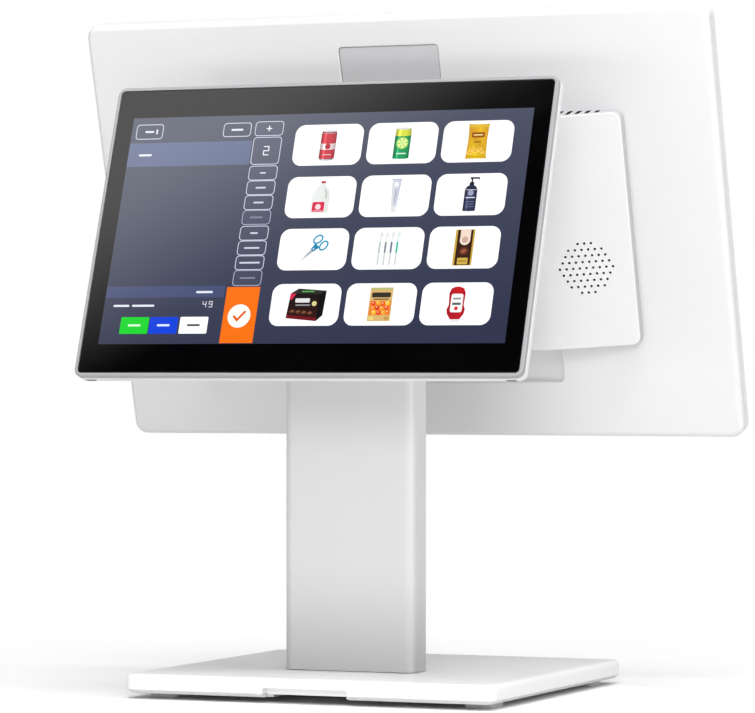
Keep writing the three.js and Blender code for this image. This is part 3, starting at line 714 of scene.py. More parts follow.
def box_shell():
    w, h, r = 2 * BOX_HALF, BOX_HIGH - BOX_LOW, 4.5
    cz = (BOX_HIGH + BOX_LOW) / 2
    n = 8
    xs = sorted(set([-120, -110, -100, -92] + [-85 + i for i in range(11)] + [-60, -30, 0, 30, 60]
                    + [75 + i for i in range(11)] + [92, 100, 110, 120]))

    def chain(ins, rr):
        hw, hh = w / 2 - ins, h / 2 - ins
        out = []
        for i in range(n + 1):
            a = math.pi + math.pi / 2 * i / n
            out.append((-(hw - rr) + rr * math.cos(a), -(hh - rr) + rr * math.sin(a)))
        for x in xs:
            out.append((x, -hh))
        for i in range(n + 1):
            a = 1.5 * math.pi + math.pi / 2 * i / n
            out.append(((hw - rr) + rr * math.cos(a), -(hh - rr) + rr * math.sin(a)))
        return out
    bm = bmesh.new()
    rows = []
    R, K = 0.75, 5
    specs = [(1.2, -0.3, None), (1.2, -2.0, None), (0.1, -2.15, None), (0.0, -2.3, None)]
    for i in range(K + 1):
        a = math.pi / 2 * i / K
        specs.append((R * (1 - math.cos(a)), None, R - R * math.sin(a)))
    for ins, y, less in specs:
        low = chain(ins, r - ins)
        full = [(x, z) for x, z in low] + [(x, -z) for x, z in low[::-1]]
        row = []
        for x, z in full:
            yy = y if y is not None else -(box_depth(x) - less)
            row.append(bm.verts.new((x, yy, z + cz)))
        rows.append(row)
    m = len(rows[0])
    for a, b in zip(rows, rows[1:]):
        for i in range(m):
            j = (i + 1) % m
            bm.faces.new((a[i], a[j], b[j], b[i]))
    bm.faces.new(rows[0][::-1])
    top = rows[-1]
    half = m // 2
    for i in range(half - 1):
        bm.faces.new((top[i], top[i + 1], top[m - 2 - i], top[m - 1 - i]))
    return finish_bm(bm, "compute_box_shell")


def build_main():
    W, H, R = 355.6, 231.8, 7.0
    B = "main_unit"
    low = -H / 2
    sh = slab("main_rear_shell", W, H, R, 7.0, 0.0, 0.3, 3.2, plane="Y", n=12, n0=2, n1=8)
    boolean(sh, [slab("c1", W - 4.4, H - 4.4, 5.0, 2.2, 9.0, plane="Y", n=6)])
    boolean(sh, [slab("u", 164.8, 26.1, 4.8, 0.9, 6.2, 0, 0, 0, -73.95, plane="Y", n=6)], "UNION")
    boolean(sh, [
        rounded_cut("c1", 161.2, 22.5, 3.0, -3.0, 5.0, 0.0, 0.6, 0, -73.95, floor=1.4),
        slab("c2", 242, 115.5, 2.0, -3, 4, 0, 0, 0, -0.25, plane="Y", n=3),
        rounded_cut("c3", 56.9, 34.4, 1.9, -3.0, 4.0, 0.0, 0.7, -0.9, 82.55),
        slab("c4", 12.6, 3.0, 1.3, low - 3, low + 5, cx=-140, cy=4.6, n=5),
    ])
    put(sh, MAIN, B, WHITE_SHELL, "white_shell", "main_back_shell")

    door = slab("service_door_panel", 56.4, 33.9, 1.7, 2.0, 0.5, 0.1, 0.8, -0.9, 82.55, plane="Y", n=8, n0=1, n1=5)
    put(door, MAIN, B, DOOR_GREY, "pale_trim", "upper_service_door")

    fr = slab("main_bezel", W, H, R, 7.3, 11.2, 0.3, 1.3, plane="Y", n=12, n0=2, n1=6)
    boolean(fr, [slab("c1", 350.0, 226.2, 5.0, 9.5, 14, plane="Y", n=8),
                 slab("c2", 346.6, 206.6, 2.0, 5, 14, plane="Y", n=4)])
    put(fr, MAIN, B, WHITE_SHELL, "white_shell", "main_front_frame")
    gl = slab("main_cover_glass", 349.4, 225.6, 4.7, 9.8, 11.1, 0.1, 0.3, plane="Y", n=10, n0=1, n1=3)
    put(gl, MAIN, B, GLASS, "cover_glass", "main_glass")

    # rear box
    bx = box_shell()
    inner = prism("i", [(-126.1, 2), (-126.1, -5.55), (-79.5, -17), (79.5, -17), (126.1, -5.55), (126.1, 2)],
                  "Z", BOX_LOW + 2, BOX_HIGH - 2)
    boolean(bx, [inner])
    vents = bmesh.new()
    for i in range(-23, 24):
        x = i * 5.0
        y0, y1 = -(box_depth(x) - 2.6), -2.6
        add_loft(vents, [(2.3, y1 - y0, 1.1, BOX_HIGH - 4, x, (y0 + y1) / 2),
                         (2.3, y1 - y0, 1.1, BOX_HIGH + 2, x, (y0 + y1) / 2)], "Z", 4)
    grille = bmesh.new()
    cloth = bmesh.new()
    for s in (-1, 1):
        for row, count in enumerate((3, 6, 7, 8, 9, 8, 7, 6, 3)):
            z = -19.3 + (4 - row) * 3.31
            for k in range(count):
                x = s * 103.9 + (k - (count - 1) / 2) * 3.40
                d = box_depth(x)
                add_cyl(grille, "Y", x, z, 0.66, -(d - 3.2), -(d + 1.0), 16)
                add_cyl(cloth, "Y", x, z, 0.80, -(d - 1.9), -(d - 0.55), 10)
    cut = [(-36 - 7.0, -36 + 7.0, -16.9, -3.6, -64, -59), (-12 - 8.5, -12 + 8.5, -16.9, -3.6, -64, -59),
           (14 - 7.6, 14 + 7.6, -16.9, -3.6, -64, -59), (38 - 7.6, 38 + 7.6, -16.9, -3.6, -64, -59),
           (-65.3, -54.7, -15.3, -3.6, -64, -59)]
    holes = [(sx * 28, MAZ + sz * 24, 2.4, -30, -10) for sx in (-1, 1) for sz in (-1, 1)]
    boolean(bx, [finish_bm(vents, "v"), finish_bm(grille, "g"), ports_cut(cut), cyls("h", "Y", holes, 24)])
    # material index 1 is near-black painted shade on the inner faces, slot walls and hole walls; index 2 is greyer
    # painted shade on the side, top and bottom walls
    inside = []
    for f in bx.data.polygons:
        c, nrm = f.center, f.normal
        d = box_depth(c.x)
        cavity = (abs(c.x) < 126.3 and BOX_LOW + 1.9 < c.z < BOX_HIGH - 1.9 and c.y > -(d - 1.9))
        slot = (BOX_HIGH - 2.15 < c.z < BOX_HIGH - 0.02 and -(d - 2.3) < c.y < -2.3
                and abs(c.x) < 118 and nrm.z < 0.7)
        hole = (abs(abs(c.x) - 103.9) < 16 and abs(c.z + 19.3) < 15 and c.y > -(d - 0.02)
                and nrm.y > -0.7)
        # painted shade mask: the box's side, top and bottom walls, which get the greyer colour
        painted_shade_wall = abs(nrm.y) < 0.55 and (abs(c.x) > BOX_HALF - 1.6 or c.z > BOX_HIGH - 1.6 or c.z < BOX_LOW + 1.6)
        inside.append(1 if cavity or slot or hole else 2 if painted_shade_wall else 0)
    put(bx, MAIN, B, WHITE_SHELL, "white_shell", "compute_box_cover")
    bx.data.materials.append(RECESS_SHADE)
    bx.data.materials.append(BOX_SIDE_SHADE)
    bx.data.polygons.foreach_set("material_index", inside)
    put(finish_bm(cloth, "grille_cloth"), MAIN, B, CLOTH, "speaker_black")

    # bracket
    p1, p0 = -19.3, -22.3
    mp = slab("main_mounting_plate", 84, 64, 4, p1, p0, 0.3, 0.3, 0, MAZ, plane="Y", n=6, n0=2, n1=2)
    boolean(mp, [cyls("c", "Y", [(x, z, 2.4, -30, -10) for x, z, *_ in holes], 24),
                 slab("c2", 30, 18, 6, -30, -10, 0, 0, 0, MAZ, plane="Y", n=6)])
    put(mp, MAIN, B, DARK_COAT, "bracket_steel", "main_mount_plate")
    for side, s in (("left", -1), ("right", 1)):
        a, b = sorted((s * 37.1, s * 40.1))
        arm = prism(f"main_tilt_arm_{side}", arm_points(MAY, MAZ, 9.0, p0 - 0.3, 21), "X", a, b, 0.45)
        boolean(arm, [cyls("c", "X", [(MAY, MAZ, 4.35, -60, 60)], 36)])
        put(arm, MAIN, B, DARK_COAT, "bracket_steel", f"main_hinge_arm_{side}")
    order = [(-28, MAZ - 24), (28, MAZ - 24), (-28, MAZ + 24), (28, MAZ + 24)]
    for i, (x, z) in enumerate(order):
        screw(f"main_fixing_{i + 1}", MAIN, B, "Y", x, z, p0 - 2.5, p0 - 0.3, -13.5, 3.6, 2.0,
              f"main_screw_{i + 1}")

    # power button
    bt = slab("power_key", 12.0, 2.4, 1.19, low + 3.4, low - 0.15, 0, 0.35, -140, 4.6, n=6, n1=4)
    boolean(bt, [boxes("u", [(-148, -132, 2.7, 6.5, low + 2.5, low + 3.7)])], "UNION")
    boolean(bt, [slab("c", 4.0, 0.5, 0.24, low - 1.0, low + 0.1, cx=-140, cy=4.6, n=4)])
    put(bt, MAIN, "power_button", KEY, "button_plastic", "power_button")

    # sockets: tongues and contacts inside the moulded bodies
    bm = bmesh.new()
    for x in (14, 38):
        for y0, y1 in ((-15.8, -10.8), (-9.8, -4.8)):
            c = (y0 + y1) / 2 + 0.9
            add_box(bm, x - 5.2, x + 5.2, c - 0.8, c + 0.8, -61.2, -51.9)
    tg = finish_bm(bm, "usb_tongues")
    put(tg, MAIN, B, USB_BLUE, "connector_black")
    bm = bmesh.new()
    for k in range(8):
        x = -12 - 3.5 + k * 1.0
        add_box(bm, x - 0.22, x + 0.22, -7.1, -6.35, -60.5, -51.2)
    for k in range(6):
        x = -36 - 2.5 + k * 1.0
        add_box(bm, x - 0.22, x + 0.22, -7.5, -6.75, -60.5, -52.2)
    for x in (14, 38):
        for y0, y1 in ((-15.8, -10.8), (-9.8, -4.8)):
            c = (y0 + y1) / 2
            for k in range(4):
                xx = x - 3.5 + k * 2.33
                add_box(bm, xx - 0.5, xx + 0.5, c - 0.25, c + 0.07, -60.6, -52.2)
    put(finish_bm(bm, "socket_contacts"), MAIN, B, GOLD, "connector_black")


# ------------------------------------------------------------------ screen picture
class Picture:
    """Flat coloured plates stacked in front of a glass face, all in one mesh."""

    def __init__(self):
        self.items = []

    def poly(self, pts, color, level=1):
        """color: one (r, g, b) or a function of (u, v), 0..255."""
        self.items.append((list(pts), color, level))

    def rect(self, x0, x1, y0, y1, color, level=1, r=0.0, n=5):
        if r <= 0:
            pts = [(x0, y0), (x1, y0), (x1, y1), (x0, y1)]
        else:
            pts = ring(x1 - x0, y1 - y0, r, (x0 + x1) / 2, (y0 + y1) / 2, n)
        self.poly(pts, color, level)

    def ell(self, cx, cy, rx, ry, color, level=1, rot=0.0, n=24):
        c, s = math.cos(rad(rot)), math.sin(rad(rot))
        pts = []
        for i in range(n):
            a = 2 * math.pi * i / n
            x, y = rx * math.cos(a), ry * math.sin(a)
            pts.append((cx + x * c - y * s, cy + x * s + y * c))
        self.poly(pts, color, level)

    def line(self, pts, w, color, level=1, closed=False):
        """A band of width w along points, as separate mitred quads."""
        m = len(pts)
        offs = []
        for i in range(m):
            p = pts[i]
            a = pts[(i - 1) % m] if (closed or i > 0) else None
            b = pts[(i + 1) % m] if (closed or i < m - 1) else None
            d = Vector((0, 0))
            if a is not None:
                d += (Vector(p) - Vector(a)).normalized()
            if b is not None:
                d += (Vector(b) - Vector(p)).normalized()
            d = d.normalized() if d.length > 1e-9 else Vector((1, 0))
            nrm = Vector((-d.y, d.x))
            k = w / 2
            if a is not None and b is not None:
                e = (Vector(b) - Vector(p)).normalized()
                k /= max(abs(nrm.dot(Vector((-e.y, e.x)))), 0.35)
            offs.append((Vector(p) + nrm * k, Vector(p) - nrm * k))
        for i in range(m if closed else m - 1):
            j = (i + 1) % m
            self.poly([offs[i][1], offs[j][1], offs[j][0], offs[i][0]], color, level)

    def frame(self, x0, x1, y0, y1, r, w, color, level=1):
        self.line(ring(x1 - x0, y1 - y0, r, (x0 + x1) / 2, (y0 + y1) / 2, 4), w, color, level, True)

    def words(self, cx, cy, h, widths, color, level=2, gap=None, seed=1):
        """Stand-ins for words: one plain bar for each."""
        cell = h * 0.62
        gap = h * 0.55 if gap is None else gap
        total = sum(w * cell for w in widths) + gap * (len(widths) - 1)
        x = cx - total / 2
        for w in widths:
            self.rect(x, x + w * cell, cy - h * 0.19, cy + h * 0.19, color, level, h * 0.17, 4)
            x += w * cell + gap

    def cyl(self, cx, y0, y1, w, color, level=1, bow=0.0, n=10, taper=1.0, hi=0.35):
        """Upright round body: vertical strips shaded like a cylinder."""
        for i in range(n):
            a0, a1 = -1 + 2 * i / n, -1 + 2 * (i + 1) / n
            s0, s1 = math.sin(a0 * math.pi / 2) * w / 2, math.sin(a1 * math.pi / 2) * w / 2
            mid = (a0 + a1) / 2
            k = 0.62 + 0.38 * math.cos(mid * math.pi / 2) + (hi if -0.5 < mid < -0.1 else 0.0) * 0.35
            col = tuple(min(c * k + (255 * 0.10 if -0.5 < mid < -0.1 else 0), 255) for c in color)
            b0 = bow * math.cos(a0 * math.pi / 2)
            b1 = bow * math.cos(a1 * math.pi / 2)
            self.poly([(cx + s0, y0 - b0), (cx + s1, y0 - b1), (cx + s1 * taper, y1 - b1),
                       (cx + s0 * taper, y1 - b0)], col, level)

    def build(self, name, front, out, step=0.02, deep=0.05):
        """front: local y of the glass face; out: -1 or +1, the way to the viewer."""
        bm = bmesh.new()
        tint = bm.loops.layers.float_color.new("tint")
        for pts, color, level in self.items:
            y = front + out * (0.01 + step * level)
            y2 = front - out * deep
            area = sum(pts[i][0] * pts[(i + 1) % len(pts)][1] - pts[(i + 1) % len(pts)][0] * pts[i][1]
                       for i in range(len(pts)))
            if abs(area) < 1e-6:
                continue
            if area < 0:
                pts = pts[::-1]
            a = [bm.verts.new((p[0], y, p[1])) for p in pts]
            b = [bm.verts.new((p[0], y2, p[1])) for p in pts]
            m = len(pts)
            fs = []
            # seen from -y a counter-clockwise (x, z) loop faces -y
            fs.append(bm.faces.new(a if out < 0 else a[::-1]))
            fs.append(bm.faces.new(b[::-1] if out < 0 else b))
            for i in range(m):
                j = (i + 1) % m
                q = (a[j], a[i], b[i], b[j])
                fs.append(bm.faces.new(q if out < 0 else q[::-1]))
            for f in fs:
                for lp in f.loops:
                    u, v = lp.vert.co.x, lp.vert.co.z
                    c = color(u, v) if callable(color) else color
                    lp[tint] = (lin(max(c[0], 0)), lin(max(c[1], 0)), lin(max(c[2], 0)), 1.0)
        me = bpy.data.meshes.new(name)
        bm.to_mesh(me)
        bm.free()
        o = bpy.data.objects.new(name, me)
        bpy.context.scene.collection.objects.link(o)
        return o


def grid_fill(pic, x0, x1, y0, y1, nx, ny, color, level):
    """A rectangle in cells, so that a changing colour is smooth over it."""
    for i in range(nx):
        for j in range(ny):
            pic.poly([(x0 + (x1 - x0) * i / nx, y0 + (y1 - y0) * j / ny),
                      (x0 + (x1 - x0) * (i + 1) / nx, y0 + (y1 - y0) * j / ny),
                      (x0 + (x1 - x0) * (i + 1) / nx, y0 + (y1 - y0) * (j + 1) / ny),
                      (x0 + (x1 - x0) * i / nx, y0 + (y1 - y0) * (j + 1) / ny)], color, level)


def icon_red_can(p, x, y, k):
    p.cyl(x, y - 7.2 * k, y + 6.6 * k, 8.4 * k, (196, 52, 66), 3, bow=0.5 * k)
    p.cyl(x, y + 6.6 * k, y + 7.6 * k, 8.0 * k, (150, 60, 70), 3, bow=0.4 * k, taper=0.9)
    p.ell(x, y + 7.4 * k, 3.5 * k, 0.55 * k, (206, 208, 212), 4)
    p.cyl(x, y - 8.0 * k, y - 7.2 * k, 7.2 * k, (170, 174, 180), 3, bow=0.5 * k, taper=1.12)
    p.cyl(x, y - 2.2 * k, y + 1.0 * k, 8.4 * k, (232, 208, 210), 4, bow=0.5 * k)
    p.ell(x, y - 0.9 * k, 1.5 * k, 1.5 * k, (178, 40, 54), 5)
    p.rect(x - 2.4 * k, x + 2.4 * k, y - 5.6 * k, y - 5.1 * k, (228, 178, 182), 4)


def icon_green_can(p, x, y, k):
    p.cyl(x, y - 8.0 * k, y + 4.2 * k, 8.6 * k, (34, 152, 92), 3, bow=0.5 * k)
    p.cyl(x, y + 4.2 * k, y + 8.0 * k, 8.6 * k, (214, 220, 70), 3, bow=0.5 * k, taper=0.93)
    p.ell(x, y + 7.8 * k, 3.6 * k, 0.55 * k, (210, 214, 214), 4)
    for a in range(6):
        t = rad(a * 60 + 15)
        p.poly([(x, y), (x + 3.0 * k * math.cos(t), y + 3.0 * k * math.sin(t)),
                (x + 3.0 * k * math.cos(t + 0.8), y + 3.0 * k * math.sin(t + 0.8))], (226, 240, 160), 5)
    p.ell(x, y, 3.3 * k, 3.3 * k, (120, 196, 70), 4)
    p.rect(x - 2.6 * k, x + 2.6 * k, y - 5.9 * k, y - 5.3 * k, (220, 240, 226), 4)


def icon_snack_bag(p, x, y, k):
    pts = []
    for i in range(13):
        pts.append((x - 5.6 * k + 11.2 * k * i / 12, y + 9.0 * k + (0.35 * k if i % 2 else 0)))
    pts += [(x + 5.2 * k, y + 7.2 * k), (x + 5.0 * k, y), (x + 5.3 * k, y - 7.4 * k)]
    for i in range(13):
        pts.append((x + 5.6 * k - 11.2 * k * i / 12, y - 9.0 * k - (0.35 * k if i % 2 else 0)))
    pts += [(x - 5.3 * k, y - 7.4 * k), (x - 5.0 * k, y), (x - 5.2 * k, y + 7.2 * k)]
    p.poly(pts[::-1], lambda u, v: (236 - abs(u - x) * 6, 196 - abs(u - x) * 8 - (v - y) * 1.0, 44), 3)
    p.rect(x - 5.4 * k, x + 5.4 * k, y + 7.6 * k, y + 8.6 * k, (214, 186, 60), 4)
    p.rect(x - 5.4 * k, x + 5.4 * k, y - 8.6 * k, y - 7.8 * k, (206, 160, 30), 4)
    p.rect(x - 3.4 * k, x + 3.4 * k, y + 2.0 * k, y + 4.8 * k, (150, 84, 30), 4, 0.7 * k, 3)
    p.rect(x - 2.4 * k, x + 2.4 * k, y + 3.1 * k, y + 3.7 * k, (246, 226, 150), 5)
    for dx, dy, ro in ((-2.6, -4.2, 20), (-0.6, -5.2, -15), (1.6, -4.4, 35), (3.0, -5.6, -30), (-3.4, -6.0, 0)):
        p.ell(x + dx * k, y + dy * k, 1.6 * k, 0.95 * k, (244, 208, 96), 4, ro, 16)
        p.ell(x + dx * k, y + dy * k + 0.1 * k, 1.1 * k, 0.55 * k, (226, 170, 60), 5, ro, 14)
    p.rect(x - 2.0 * k, x + 2.0 * k, y - 0.6 * k, y - 0.1 * k, (120, 84, 20), 4)


def icon_jug(p, x, y, k):
    pts = [(x - 4.9, y - 8.6), (x + 4.4, y - 8.6), (x + 4.9, y - 7.8), (x + 4.9, y + 0.6), (x + 4.4, y + 3.4),
           (x + 2.4, y + 6.0), (x + 1.6, y + 7.4), (x - 0.4, y + 7.4), (x - 1.6, y + 6.2), (x - 4.0, y + 3.0),
           (x - 5.0, y + 0.2), (x - 5.2, y - 7.8)]
    pts = [(x + (a - x) * k, y + (b - y) * k) for a, b in pts]
    p.poly(pts, lambda u, v: (226 - (u - x) * 1.2, 228 - (u - x) * 1.2, 226 - (u - x) * 1.4), 3)
    p.poly([(x + 2.0 * k, y + 4.4 * k), (x + 3.4 * k, y + 2.6 * k), (x + 3.4 * k, y - 0.6 * k),
            (x + 2.5 * k, y - 0.8 * k), (x + 2.5 * k, y + 2.4 * k), (x + 1.4 * k, y + 4.0 * k)][::-1],
           (188, 192, 190), 4)
    p.rect(x - 0.6 * k, x + 1.8 * k, y + 7.4 * k, y + 8.6 * k, (176, 44, 66), 4, 0.3 * k, 2)
    p.rect(x - 3.9 * k, x + 2.6 * k, y - 7.8 * k, y - 2.6 * k, (212, 44, 76), 4, 0.5 * k, 3)
    p.ell(x - 0.7 * k, y - 5.2 * k, 1.5 * k, 1.5 * k, (246, 214, 222), 5, 0, 18)
    p.rect(x - 3.2 * k, x + 1.9 * k, y - 7.3 * k, y - 7.0 * k, (240, 170, 186), 5)


def icon_tube(p, x, y, k):
    p.poly([(x - 1.5 * k, y - 5.6 * k), (x + 1.4 * k, y - 5.6 * k), (x + 2.5 * k, y + 8.4 * k),
            (x - 2.5 * k, y + 8.4 * k)], lambda u, v: (206 - (u - x) * 4, 208 - (u - x) * 4, 220), 3)
    p.rect(x - 2.7 * k, x + 2.7 * k, y + 8.4 * k, y + 9.1 * k, (188, 190, 202), 3)
    p.rect(x - 1.35 * k, x + 1.25 * k, y - 8.6 * k, y - 5.6 * k, (226, 222, 220), 3, 0.3 * k, 2)
    p.ell(x, y + 6.0 * k, 1.3 * k, 1.3 * k, (236, 238, 246), 4, 0, 16)
    p.rect(x - 0.25 * k, x + 0.25 * k, y - 3.6 * k, y + 3.6 * k, (160, 164, 182), 4)
    p.rect(x + 0.6 * k, x + 0.9 * k, y - 1.6 * k, y + 3.0 * k, (178, 182, 198), 4)


def icon_pump(p, x, y, k):
    p.cyl(x, y - 8.6 * k, y + 2.6 * k, 6.6 * k, (52, 56, 86), 3, bow=0.25 * k)
    p.poly([(x - 3.3 * k, y + 2.6 * k), (x + 3.3 * k, y + 2.6 * k), (x + 2.4 * k, y + 4.2 * k),
            (x + 1.1 * k, y + 4.9 * k), (x - 1.1 * k, y + 4.9 * k), (x - 2.4 * k, y + 4.2 * k)],
           (46, 50, 76), 3)
    p.rect(x - 1.2 * k, x + 1.2 * k, y + 4.9 * k, y + 6.5 * k, (34, 36, 48), 4)
    p.rect(x - 0.4 * k, x + 0.4 * k, y + 6.5 * k, y + 8.2 * k, (40, 42, 54), 4)
    p.poly([(x - 1.2 * k, y + 8.2 * k), (x + 3.4 * k, y + 8.2 * k), (x + 3.8 * k, y + 7.5 * k),
            (x + 4.0 * k, y + 8.6 * k), (x + 3.4 * k, y + 9.1 * k), (x - 1.0 * k, y + 9.1 * k)],
           (30, 32, 44), 4)
    p.rect(x - 2.4 * k, x + 2.4 * k, y - 1.9 * k, y - 1.4 * k, (226, 230, 240), 4)
    p.ell(x, y + 0.8 * k, 1.5 * k, 1.5 * k, (150, 158, 184), 4, 0, 18)
    for i in range(3):
        p.rect(x - 2.2 * k, x + 2.2 * k, y - (4.0 + 1.3 * i) * k, y - (3.7 + 1.3 * i) * k, (120, 126, 160), 4)


def icon_scissors(p, x, y, k):
    def t(a, b, ang):
        c, s = math.cos(rad(ang)), math.sin(rad(ang))
        return (x + (a * c - b * s) * k, y + (a * s + b * c) * k)
    teal = (44, 150, 186)
    for ang, off in ((-38, 2.5), (-52, -2.3)):
        cx, cy = t(off, 5.2, -45)
        loop = []
        for i in range(20):
            a = 2 * math.pi * i / 20
            u, v = 1.75 * math.cos(a), 2.6 * math.sin(a)
            c, s = math.cos(rad(ang)), math.sin(rad(ang))
            loop.append((cx + (u * c - v * s) * k, cy + (u * s + v * c) * k))
        p.line(loop, 0.85 * k, teal, 4, True)
    p.poly([t(-1.0, -0.8, -45), t(1.0, -0.8, -45), t(1.7, 3.0, -45), t(-1.7, 3.0, -45)], (36, 134, 172), 4)
    p.poly([t(-0.9, -0.6, -45), t(0.2, -0.6, -45), t(-0.3, -8.8, -45)], (188, 192, 196), 3)
    p.poly([t(-0.1, -0.6, -45), t(0.9, -0.6, -45), t(0.2, -9.2, -45)], (158, 162, 168), 3)
    cx, cy = t(0, 0.3, -45)
    p.ell(cx, cy, 0.45 * k, 0.45 * k, (220, 226, 230), 5, 0, 12)


def icon_brushes(p, x, y, k):
    for i, (grip, bris) in enumerate((((176, 196, 194), (206, 214, 214)), ((132, 140, 146), (220, 224, 226)),
                                      ((120, 118, 140), (214, 216, 224)), ((66, 186, 160), (196, 236, 226)))):
        bx = x + (-4.6 + 3.1 * i) * k
        p.rect(bx - 0.42 * k, bx + 0.42 * k, y - 8.8 * k, y - 1.0 * k, (200, 206, 208), 3, 0.3 * k, 2)
        p.rect(bx - 0.52 * k, bx + 0.52 * k, y - 2.4 * k, y + 3.4 * k, grip, 4, 0.4 * k, 3)
        p.rect(bx - 0.25 * k, bx + 0.25 * k, y + 3.0 * k, y + 6.0 * k, (204, 210, 212), 3)
        p.rect(bx - 0.55 * k, bx + 0.45 * k, y + 5.6 * k, y + 8.6 * k, (226, 230, 230), 4, 0.3 * k, 3)
        p.rect(bx + 0.35 * k, bx + 1.15 * k, y + 6.0 * k, y + 8.4 * k, bris, 4)


def icon_coffee(p, x, y, k):
    p.rect(x - 5.0 * k, x + 5.0 * k, y - 9.4 * k, y + 9.4 * k, (196, 160, 62), 3, 0.3 * k, 2)
    p.rect(x - 3.9 * k, x + 4.1 * k, y - 9.2 * k, y + 9.2 * k, (58, 36, 26), 4)
    p.rect(x - 2.4 * k, x + 2.9 * k, y + 3.4 * k, y + 9.2 * k, (236, 214, 196), 5)
    p.ell(x + 0.2 * k, y + 4.0 * k, 2.75 * k, 2.75 * k, (240, 222, 206), 5, 0, 24)
    p.ell(x + 0.2 * k, y + 4.0 * k, 1.7 * k, 1.7 * k, (202, 170, 150), 6, 0, 20)
    p.ell(x + 0.2 * k, y - 1.9 * k, 2.6 * k, 2.2 * k, (94, 46, 34), 5, 0, 20)
    p.ell(x + 0.2 * k, y - 1.9 * k, 1.6 * k, 1.1 * k, (150, 84, 60), 6, 30, 18)
    p.rect(x - 2.6 * k, x + 2.9 * k, y - 8.8 * k, y - 5.4 * k, (204, 172, 76), 5, 0.3 * k, 2)
    p.rect(x - 2.0 * k, x + 2.3 * k, y - 7.4 * k, y - 6.9 * k, (130, 96, 34), 6)


def icon_dark_box(p, x, y, k):
    p.poly([(x - 9.6 * k, y - 7.0 * k), (x + 6.8 * k, y - 8.6 * k), (x + 7.2 * k, y + 5.6 * k),
            (x - 8.6 * k, y + 6.0 * k)], lambda u, v: (40 - (v - y) * 1.6, 26, 26), 3)
    p.poly([(x + 6.8 * k, y - 8.6 * k), (x + 10.0 * k, y - 5.6 * k), (x + 10.6 * k, y + 7.4 * k),
            (x + 7.2 * k, y + 5.6 * k)], (22, 20, 22), 3)
    p.poly([(x - 8.6 * k, y + 6.0 * k), (x + 7.2 * k, y + 5.6 * k), (x + 10.6 * k, y + 7.4 * k),
            (x - 4.6 * k, y + 8.6 * k)], (46, 48, 44), 3)
    p.poly([(x - 9.6 * k, y - 7.0 * k), (x + 6.8 * k, y - 8.6 * k), (x + 6.9 * k, y - 6.8 * k),
            (x - 9.4 * k, y - 5.2 * k)], (112, 24, 34), 4)
    p.poly([(x - 8.6 * k, y + 6.0 * k), (x - 5.6 * k, y + 5.9 * k), (x - 7.6 * k, y + 2.6 * k),
            (x - 8.9 * k, y + 3.0 * k)], (206, 44, 80), 4)
    p.rect(x - 2.6 * k, x + 4.0 * k, y + 6.7 * k, y + 7.3 * k, (96, 176, 96), 4)
    p.rect(x - 5.6 * k, x + 2.2 * k, y + 1.2 * k, y + 3.4 * k, (222, 222, 224), 4, 0.5 * k, 3)
    p.rect(x - 5.2 * k, x + 2.6 * k, y - 0.5 * k, y + 0.2 * k, (150, 150, 154), 4)
    for dx, dy in ((-6.6, -3.4), (-3.4, -3.7), (-0.2, -4.0), (3.0, -4.3)):
        p.ell(x + dx * k, y + dy * k, 1.45 * k, 1.0 * k, (92, 52, 40), 4, 8, 16)
        p.ell(x + dx * k, y + (dy + 0.15) * k, 0.85 * k, 0.5 * k, (136, 84, 62), 5, 8, 14)
    p.ell(x + 4.8 * k, y + 0.6 * k, 1.3 * k, 1.3 * k, (214, 210, 140), 4, 0, 18)


def icon_candy(p, x, y, k):
    p.rect(x - 6.0 * k, x + 6.0 * k, y - 8.8 * k, y + 8.8 * k, (214, 176, 112), 3, 0.3 * k, 2)
    p.rect(x - 5.6 * k, x + 5.6 * k, y + 7.6 * k, y + 8.5 * k, (176, 186, 120), 4)
    p.rect(x - 5.0 * k, x + 5.0 * k, y + 3.6 * k, y + 6.2 * k, (56, 52, 44), 4, 0.6 * k, 3)
    p.rect(x - 4.0 * k, x + 4.2 * k, y + 2.3 * k, y + 3.0 * k, (122, 92, 50), 4)
    blobs = [((226, 74, 40), -3.6, 0.4), ((246, 170, 44), -1.2, 0.8), ((232, 92, 44), 1.4, 0.2),
             ((248, 196, 60), 3.8, 0.6), ((240, 136, 40), -3.8, -2.0), ((214, 48, 36), -1.4, -1.8),
             ((246, 150, 40), 1.0, -2.2), ((232, 80, 40), 3.6, -1.8), ((248, 190, 56), -3.0, -4.2),
             ((228, 66, 38), -0.4, -4.4), ((244, 160, 46), 2.2, -4.4), ((236, 116, 44), 4.4, -4.2)]
    p.rect(x - 5.6 * k, x + 5.6 * k, y - 5.6 * k, y + 1.8 * k, (226, 128, 52), 4)
    for c, dx, dy in blobs:
        p.ell(x + dx * k, y + dy * k, 1.15 * k, 1.2 * k, c, 5, 0, 14)
        p.ell(x + (dx - 0.3) * k, y + (dy + 0.4) * k, 0.35 * k, 0.3 * k, (255, 232, 190), 6, 0, 10)
    p.rect(x - 5.2 * k, x - 2.6 * k, y - 8.2 * k, y - 6.4 * k, (236, 206, 120), 4, 0.3 * k, 2)
    p.rect(x + 2.8 * k, x + 5.2 * k, y - 8.2 * k, y - 6.4 * k, (196, 150, 80), 4, 0.3 * k, 2)


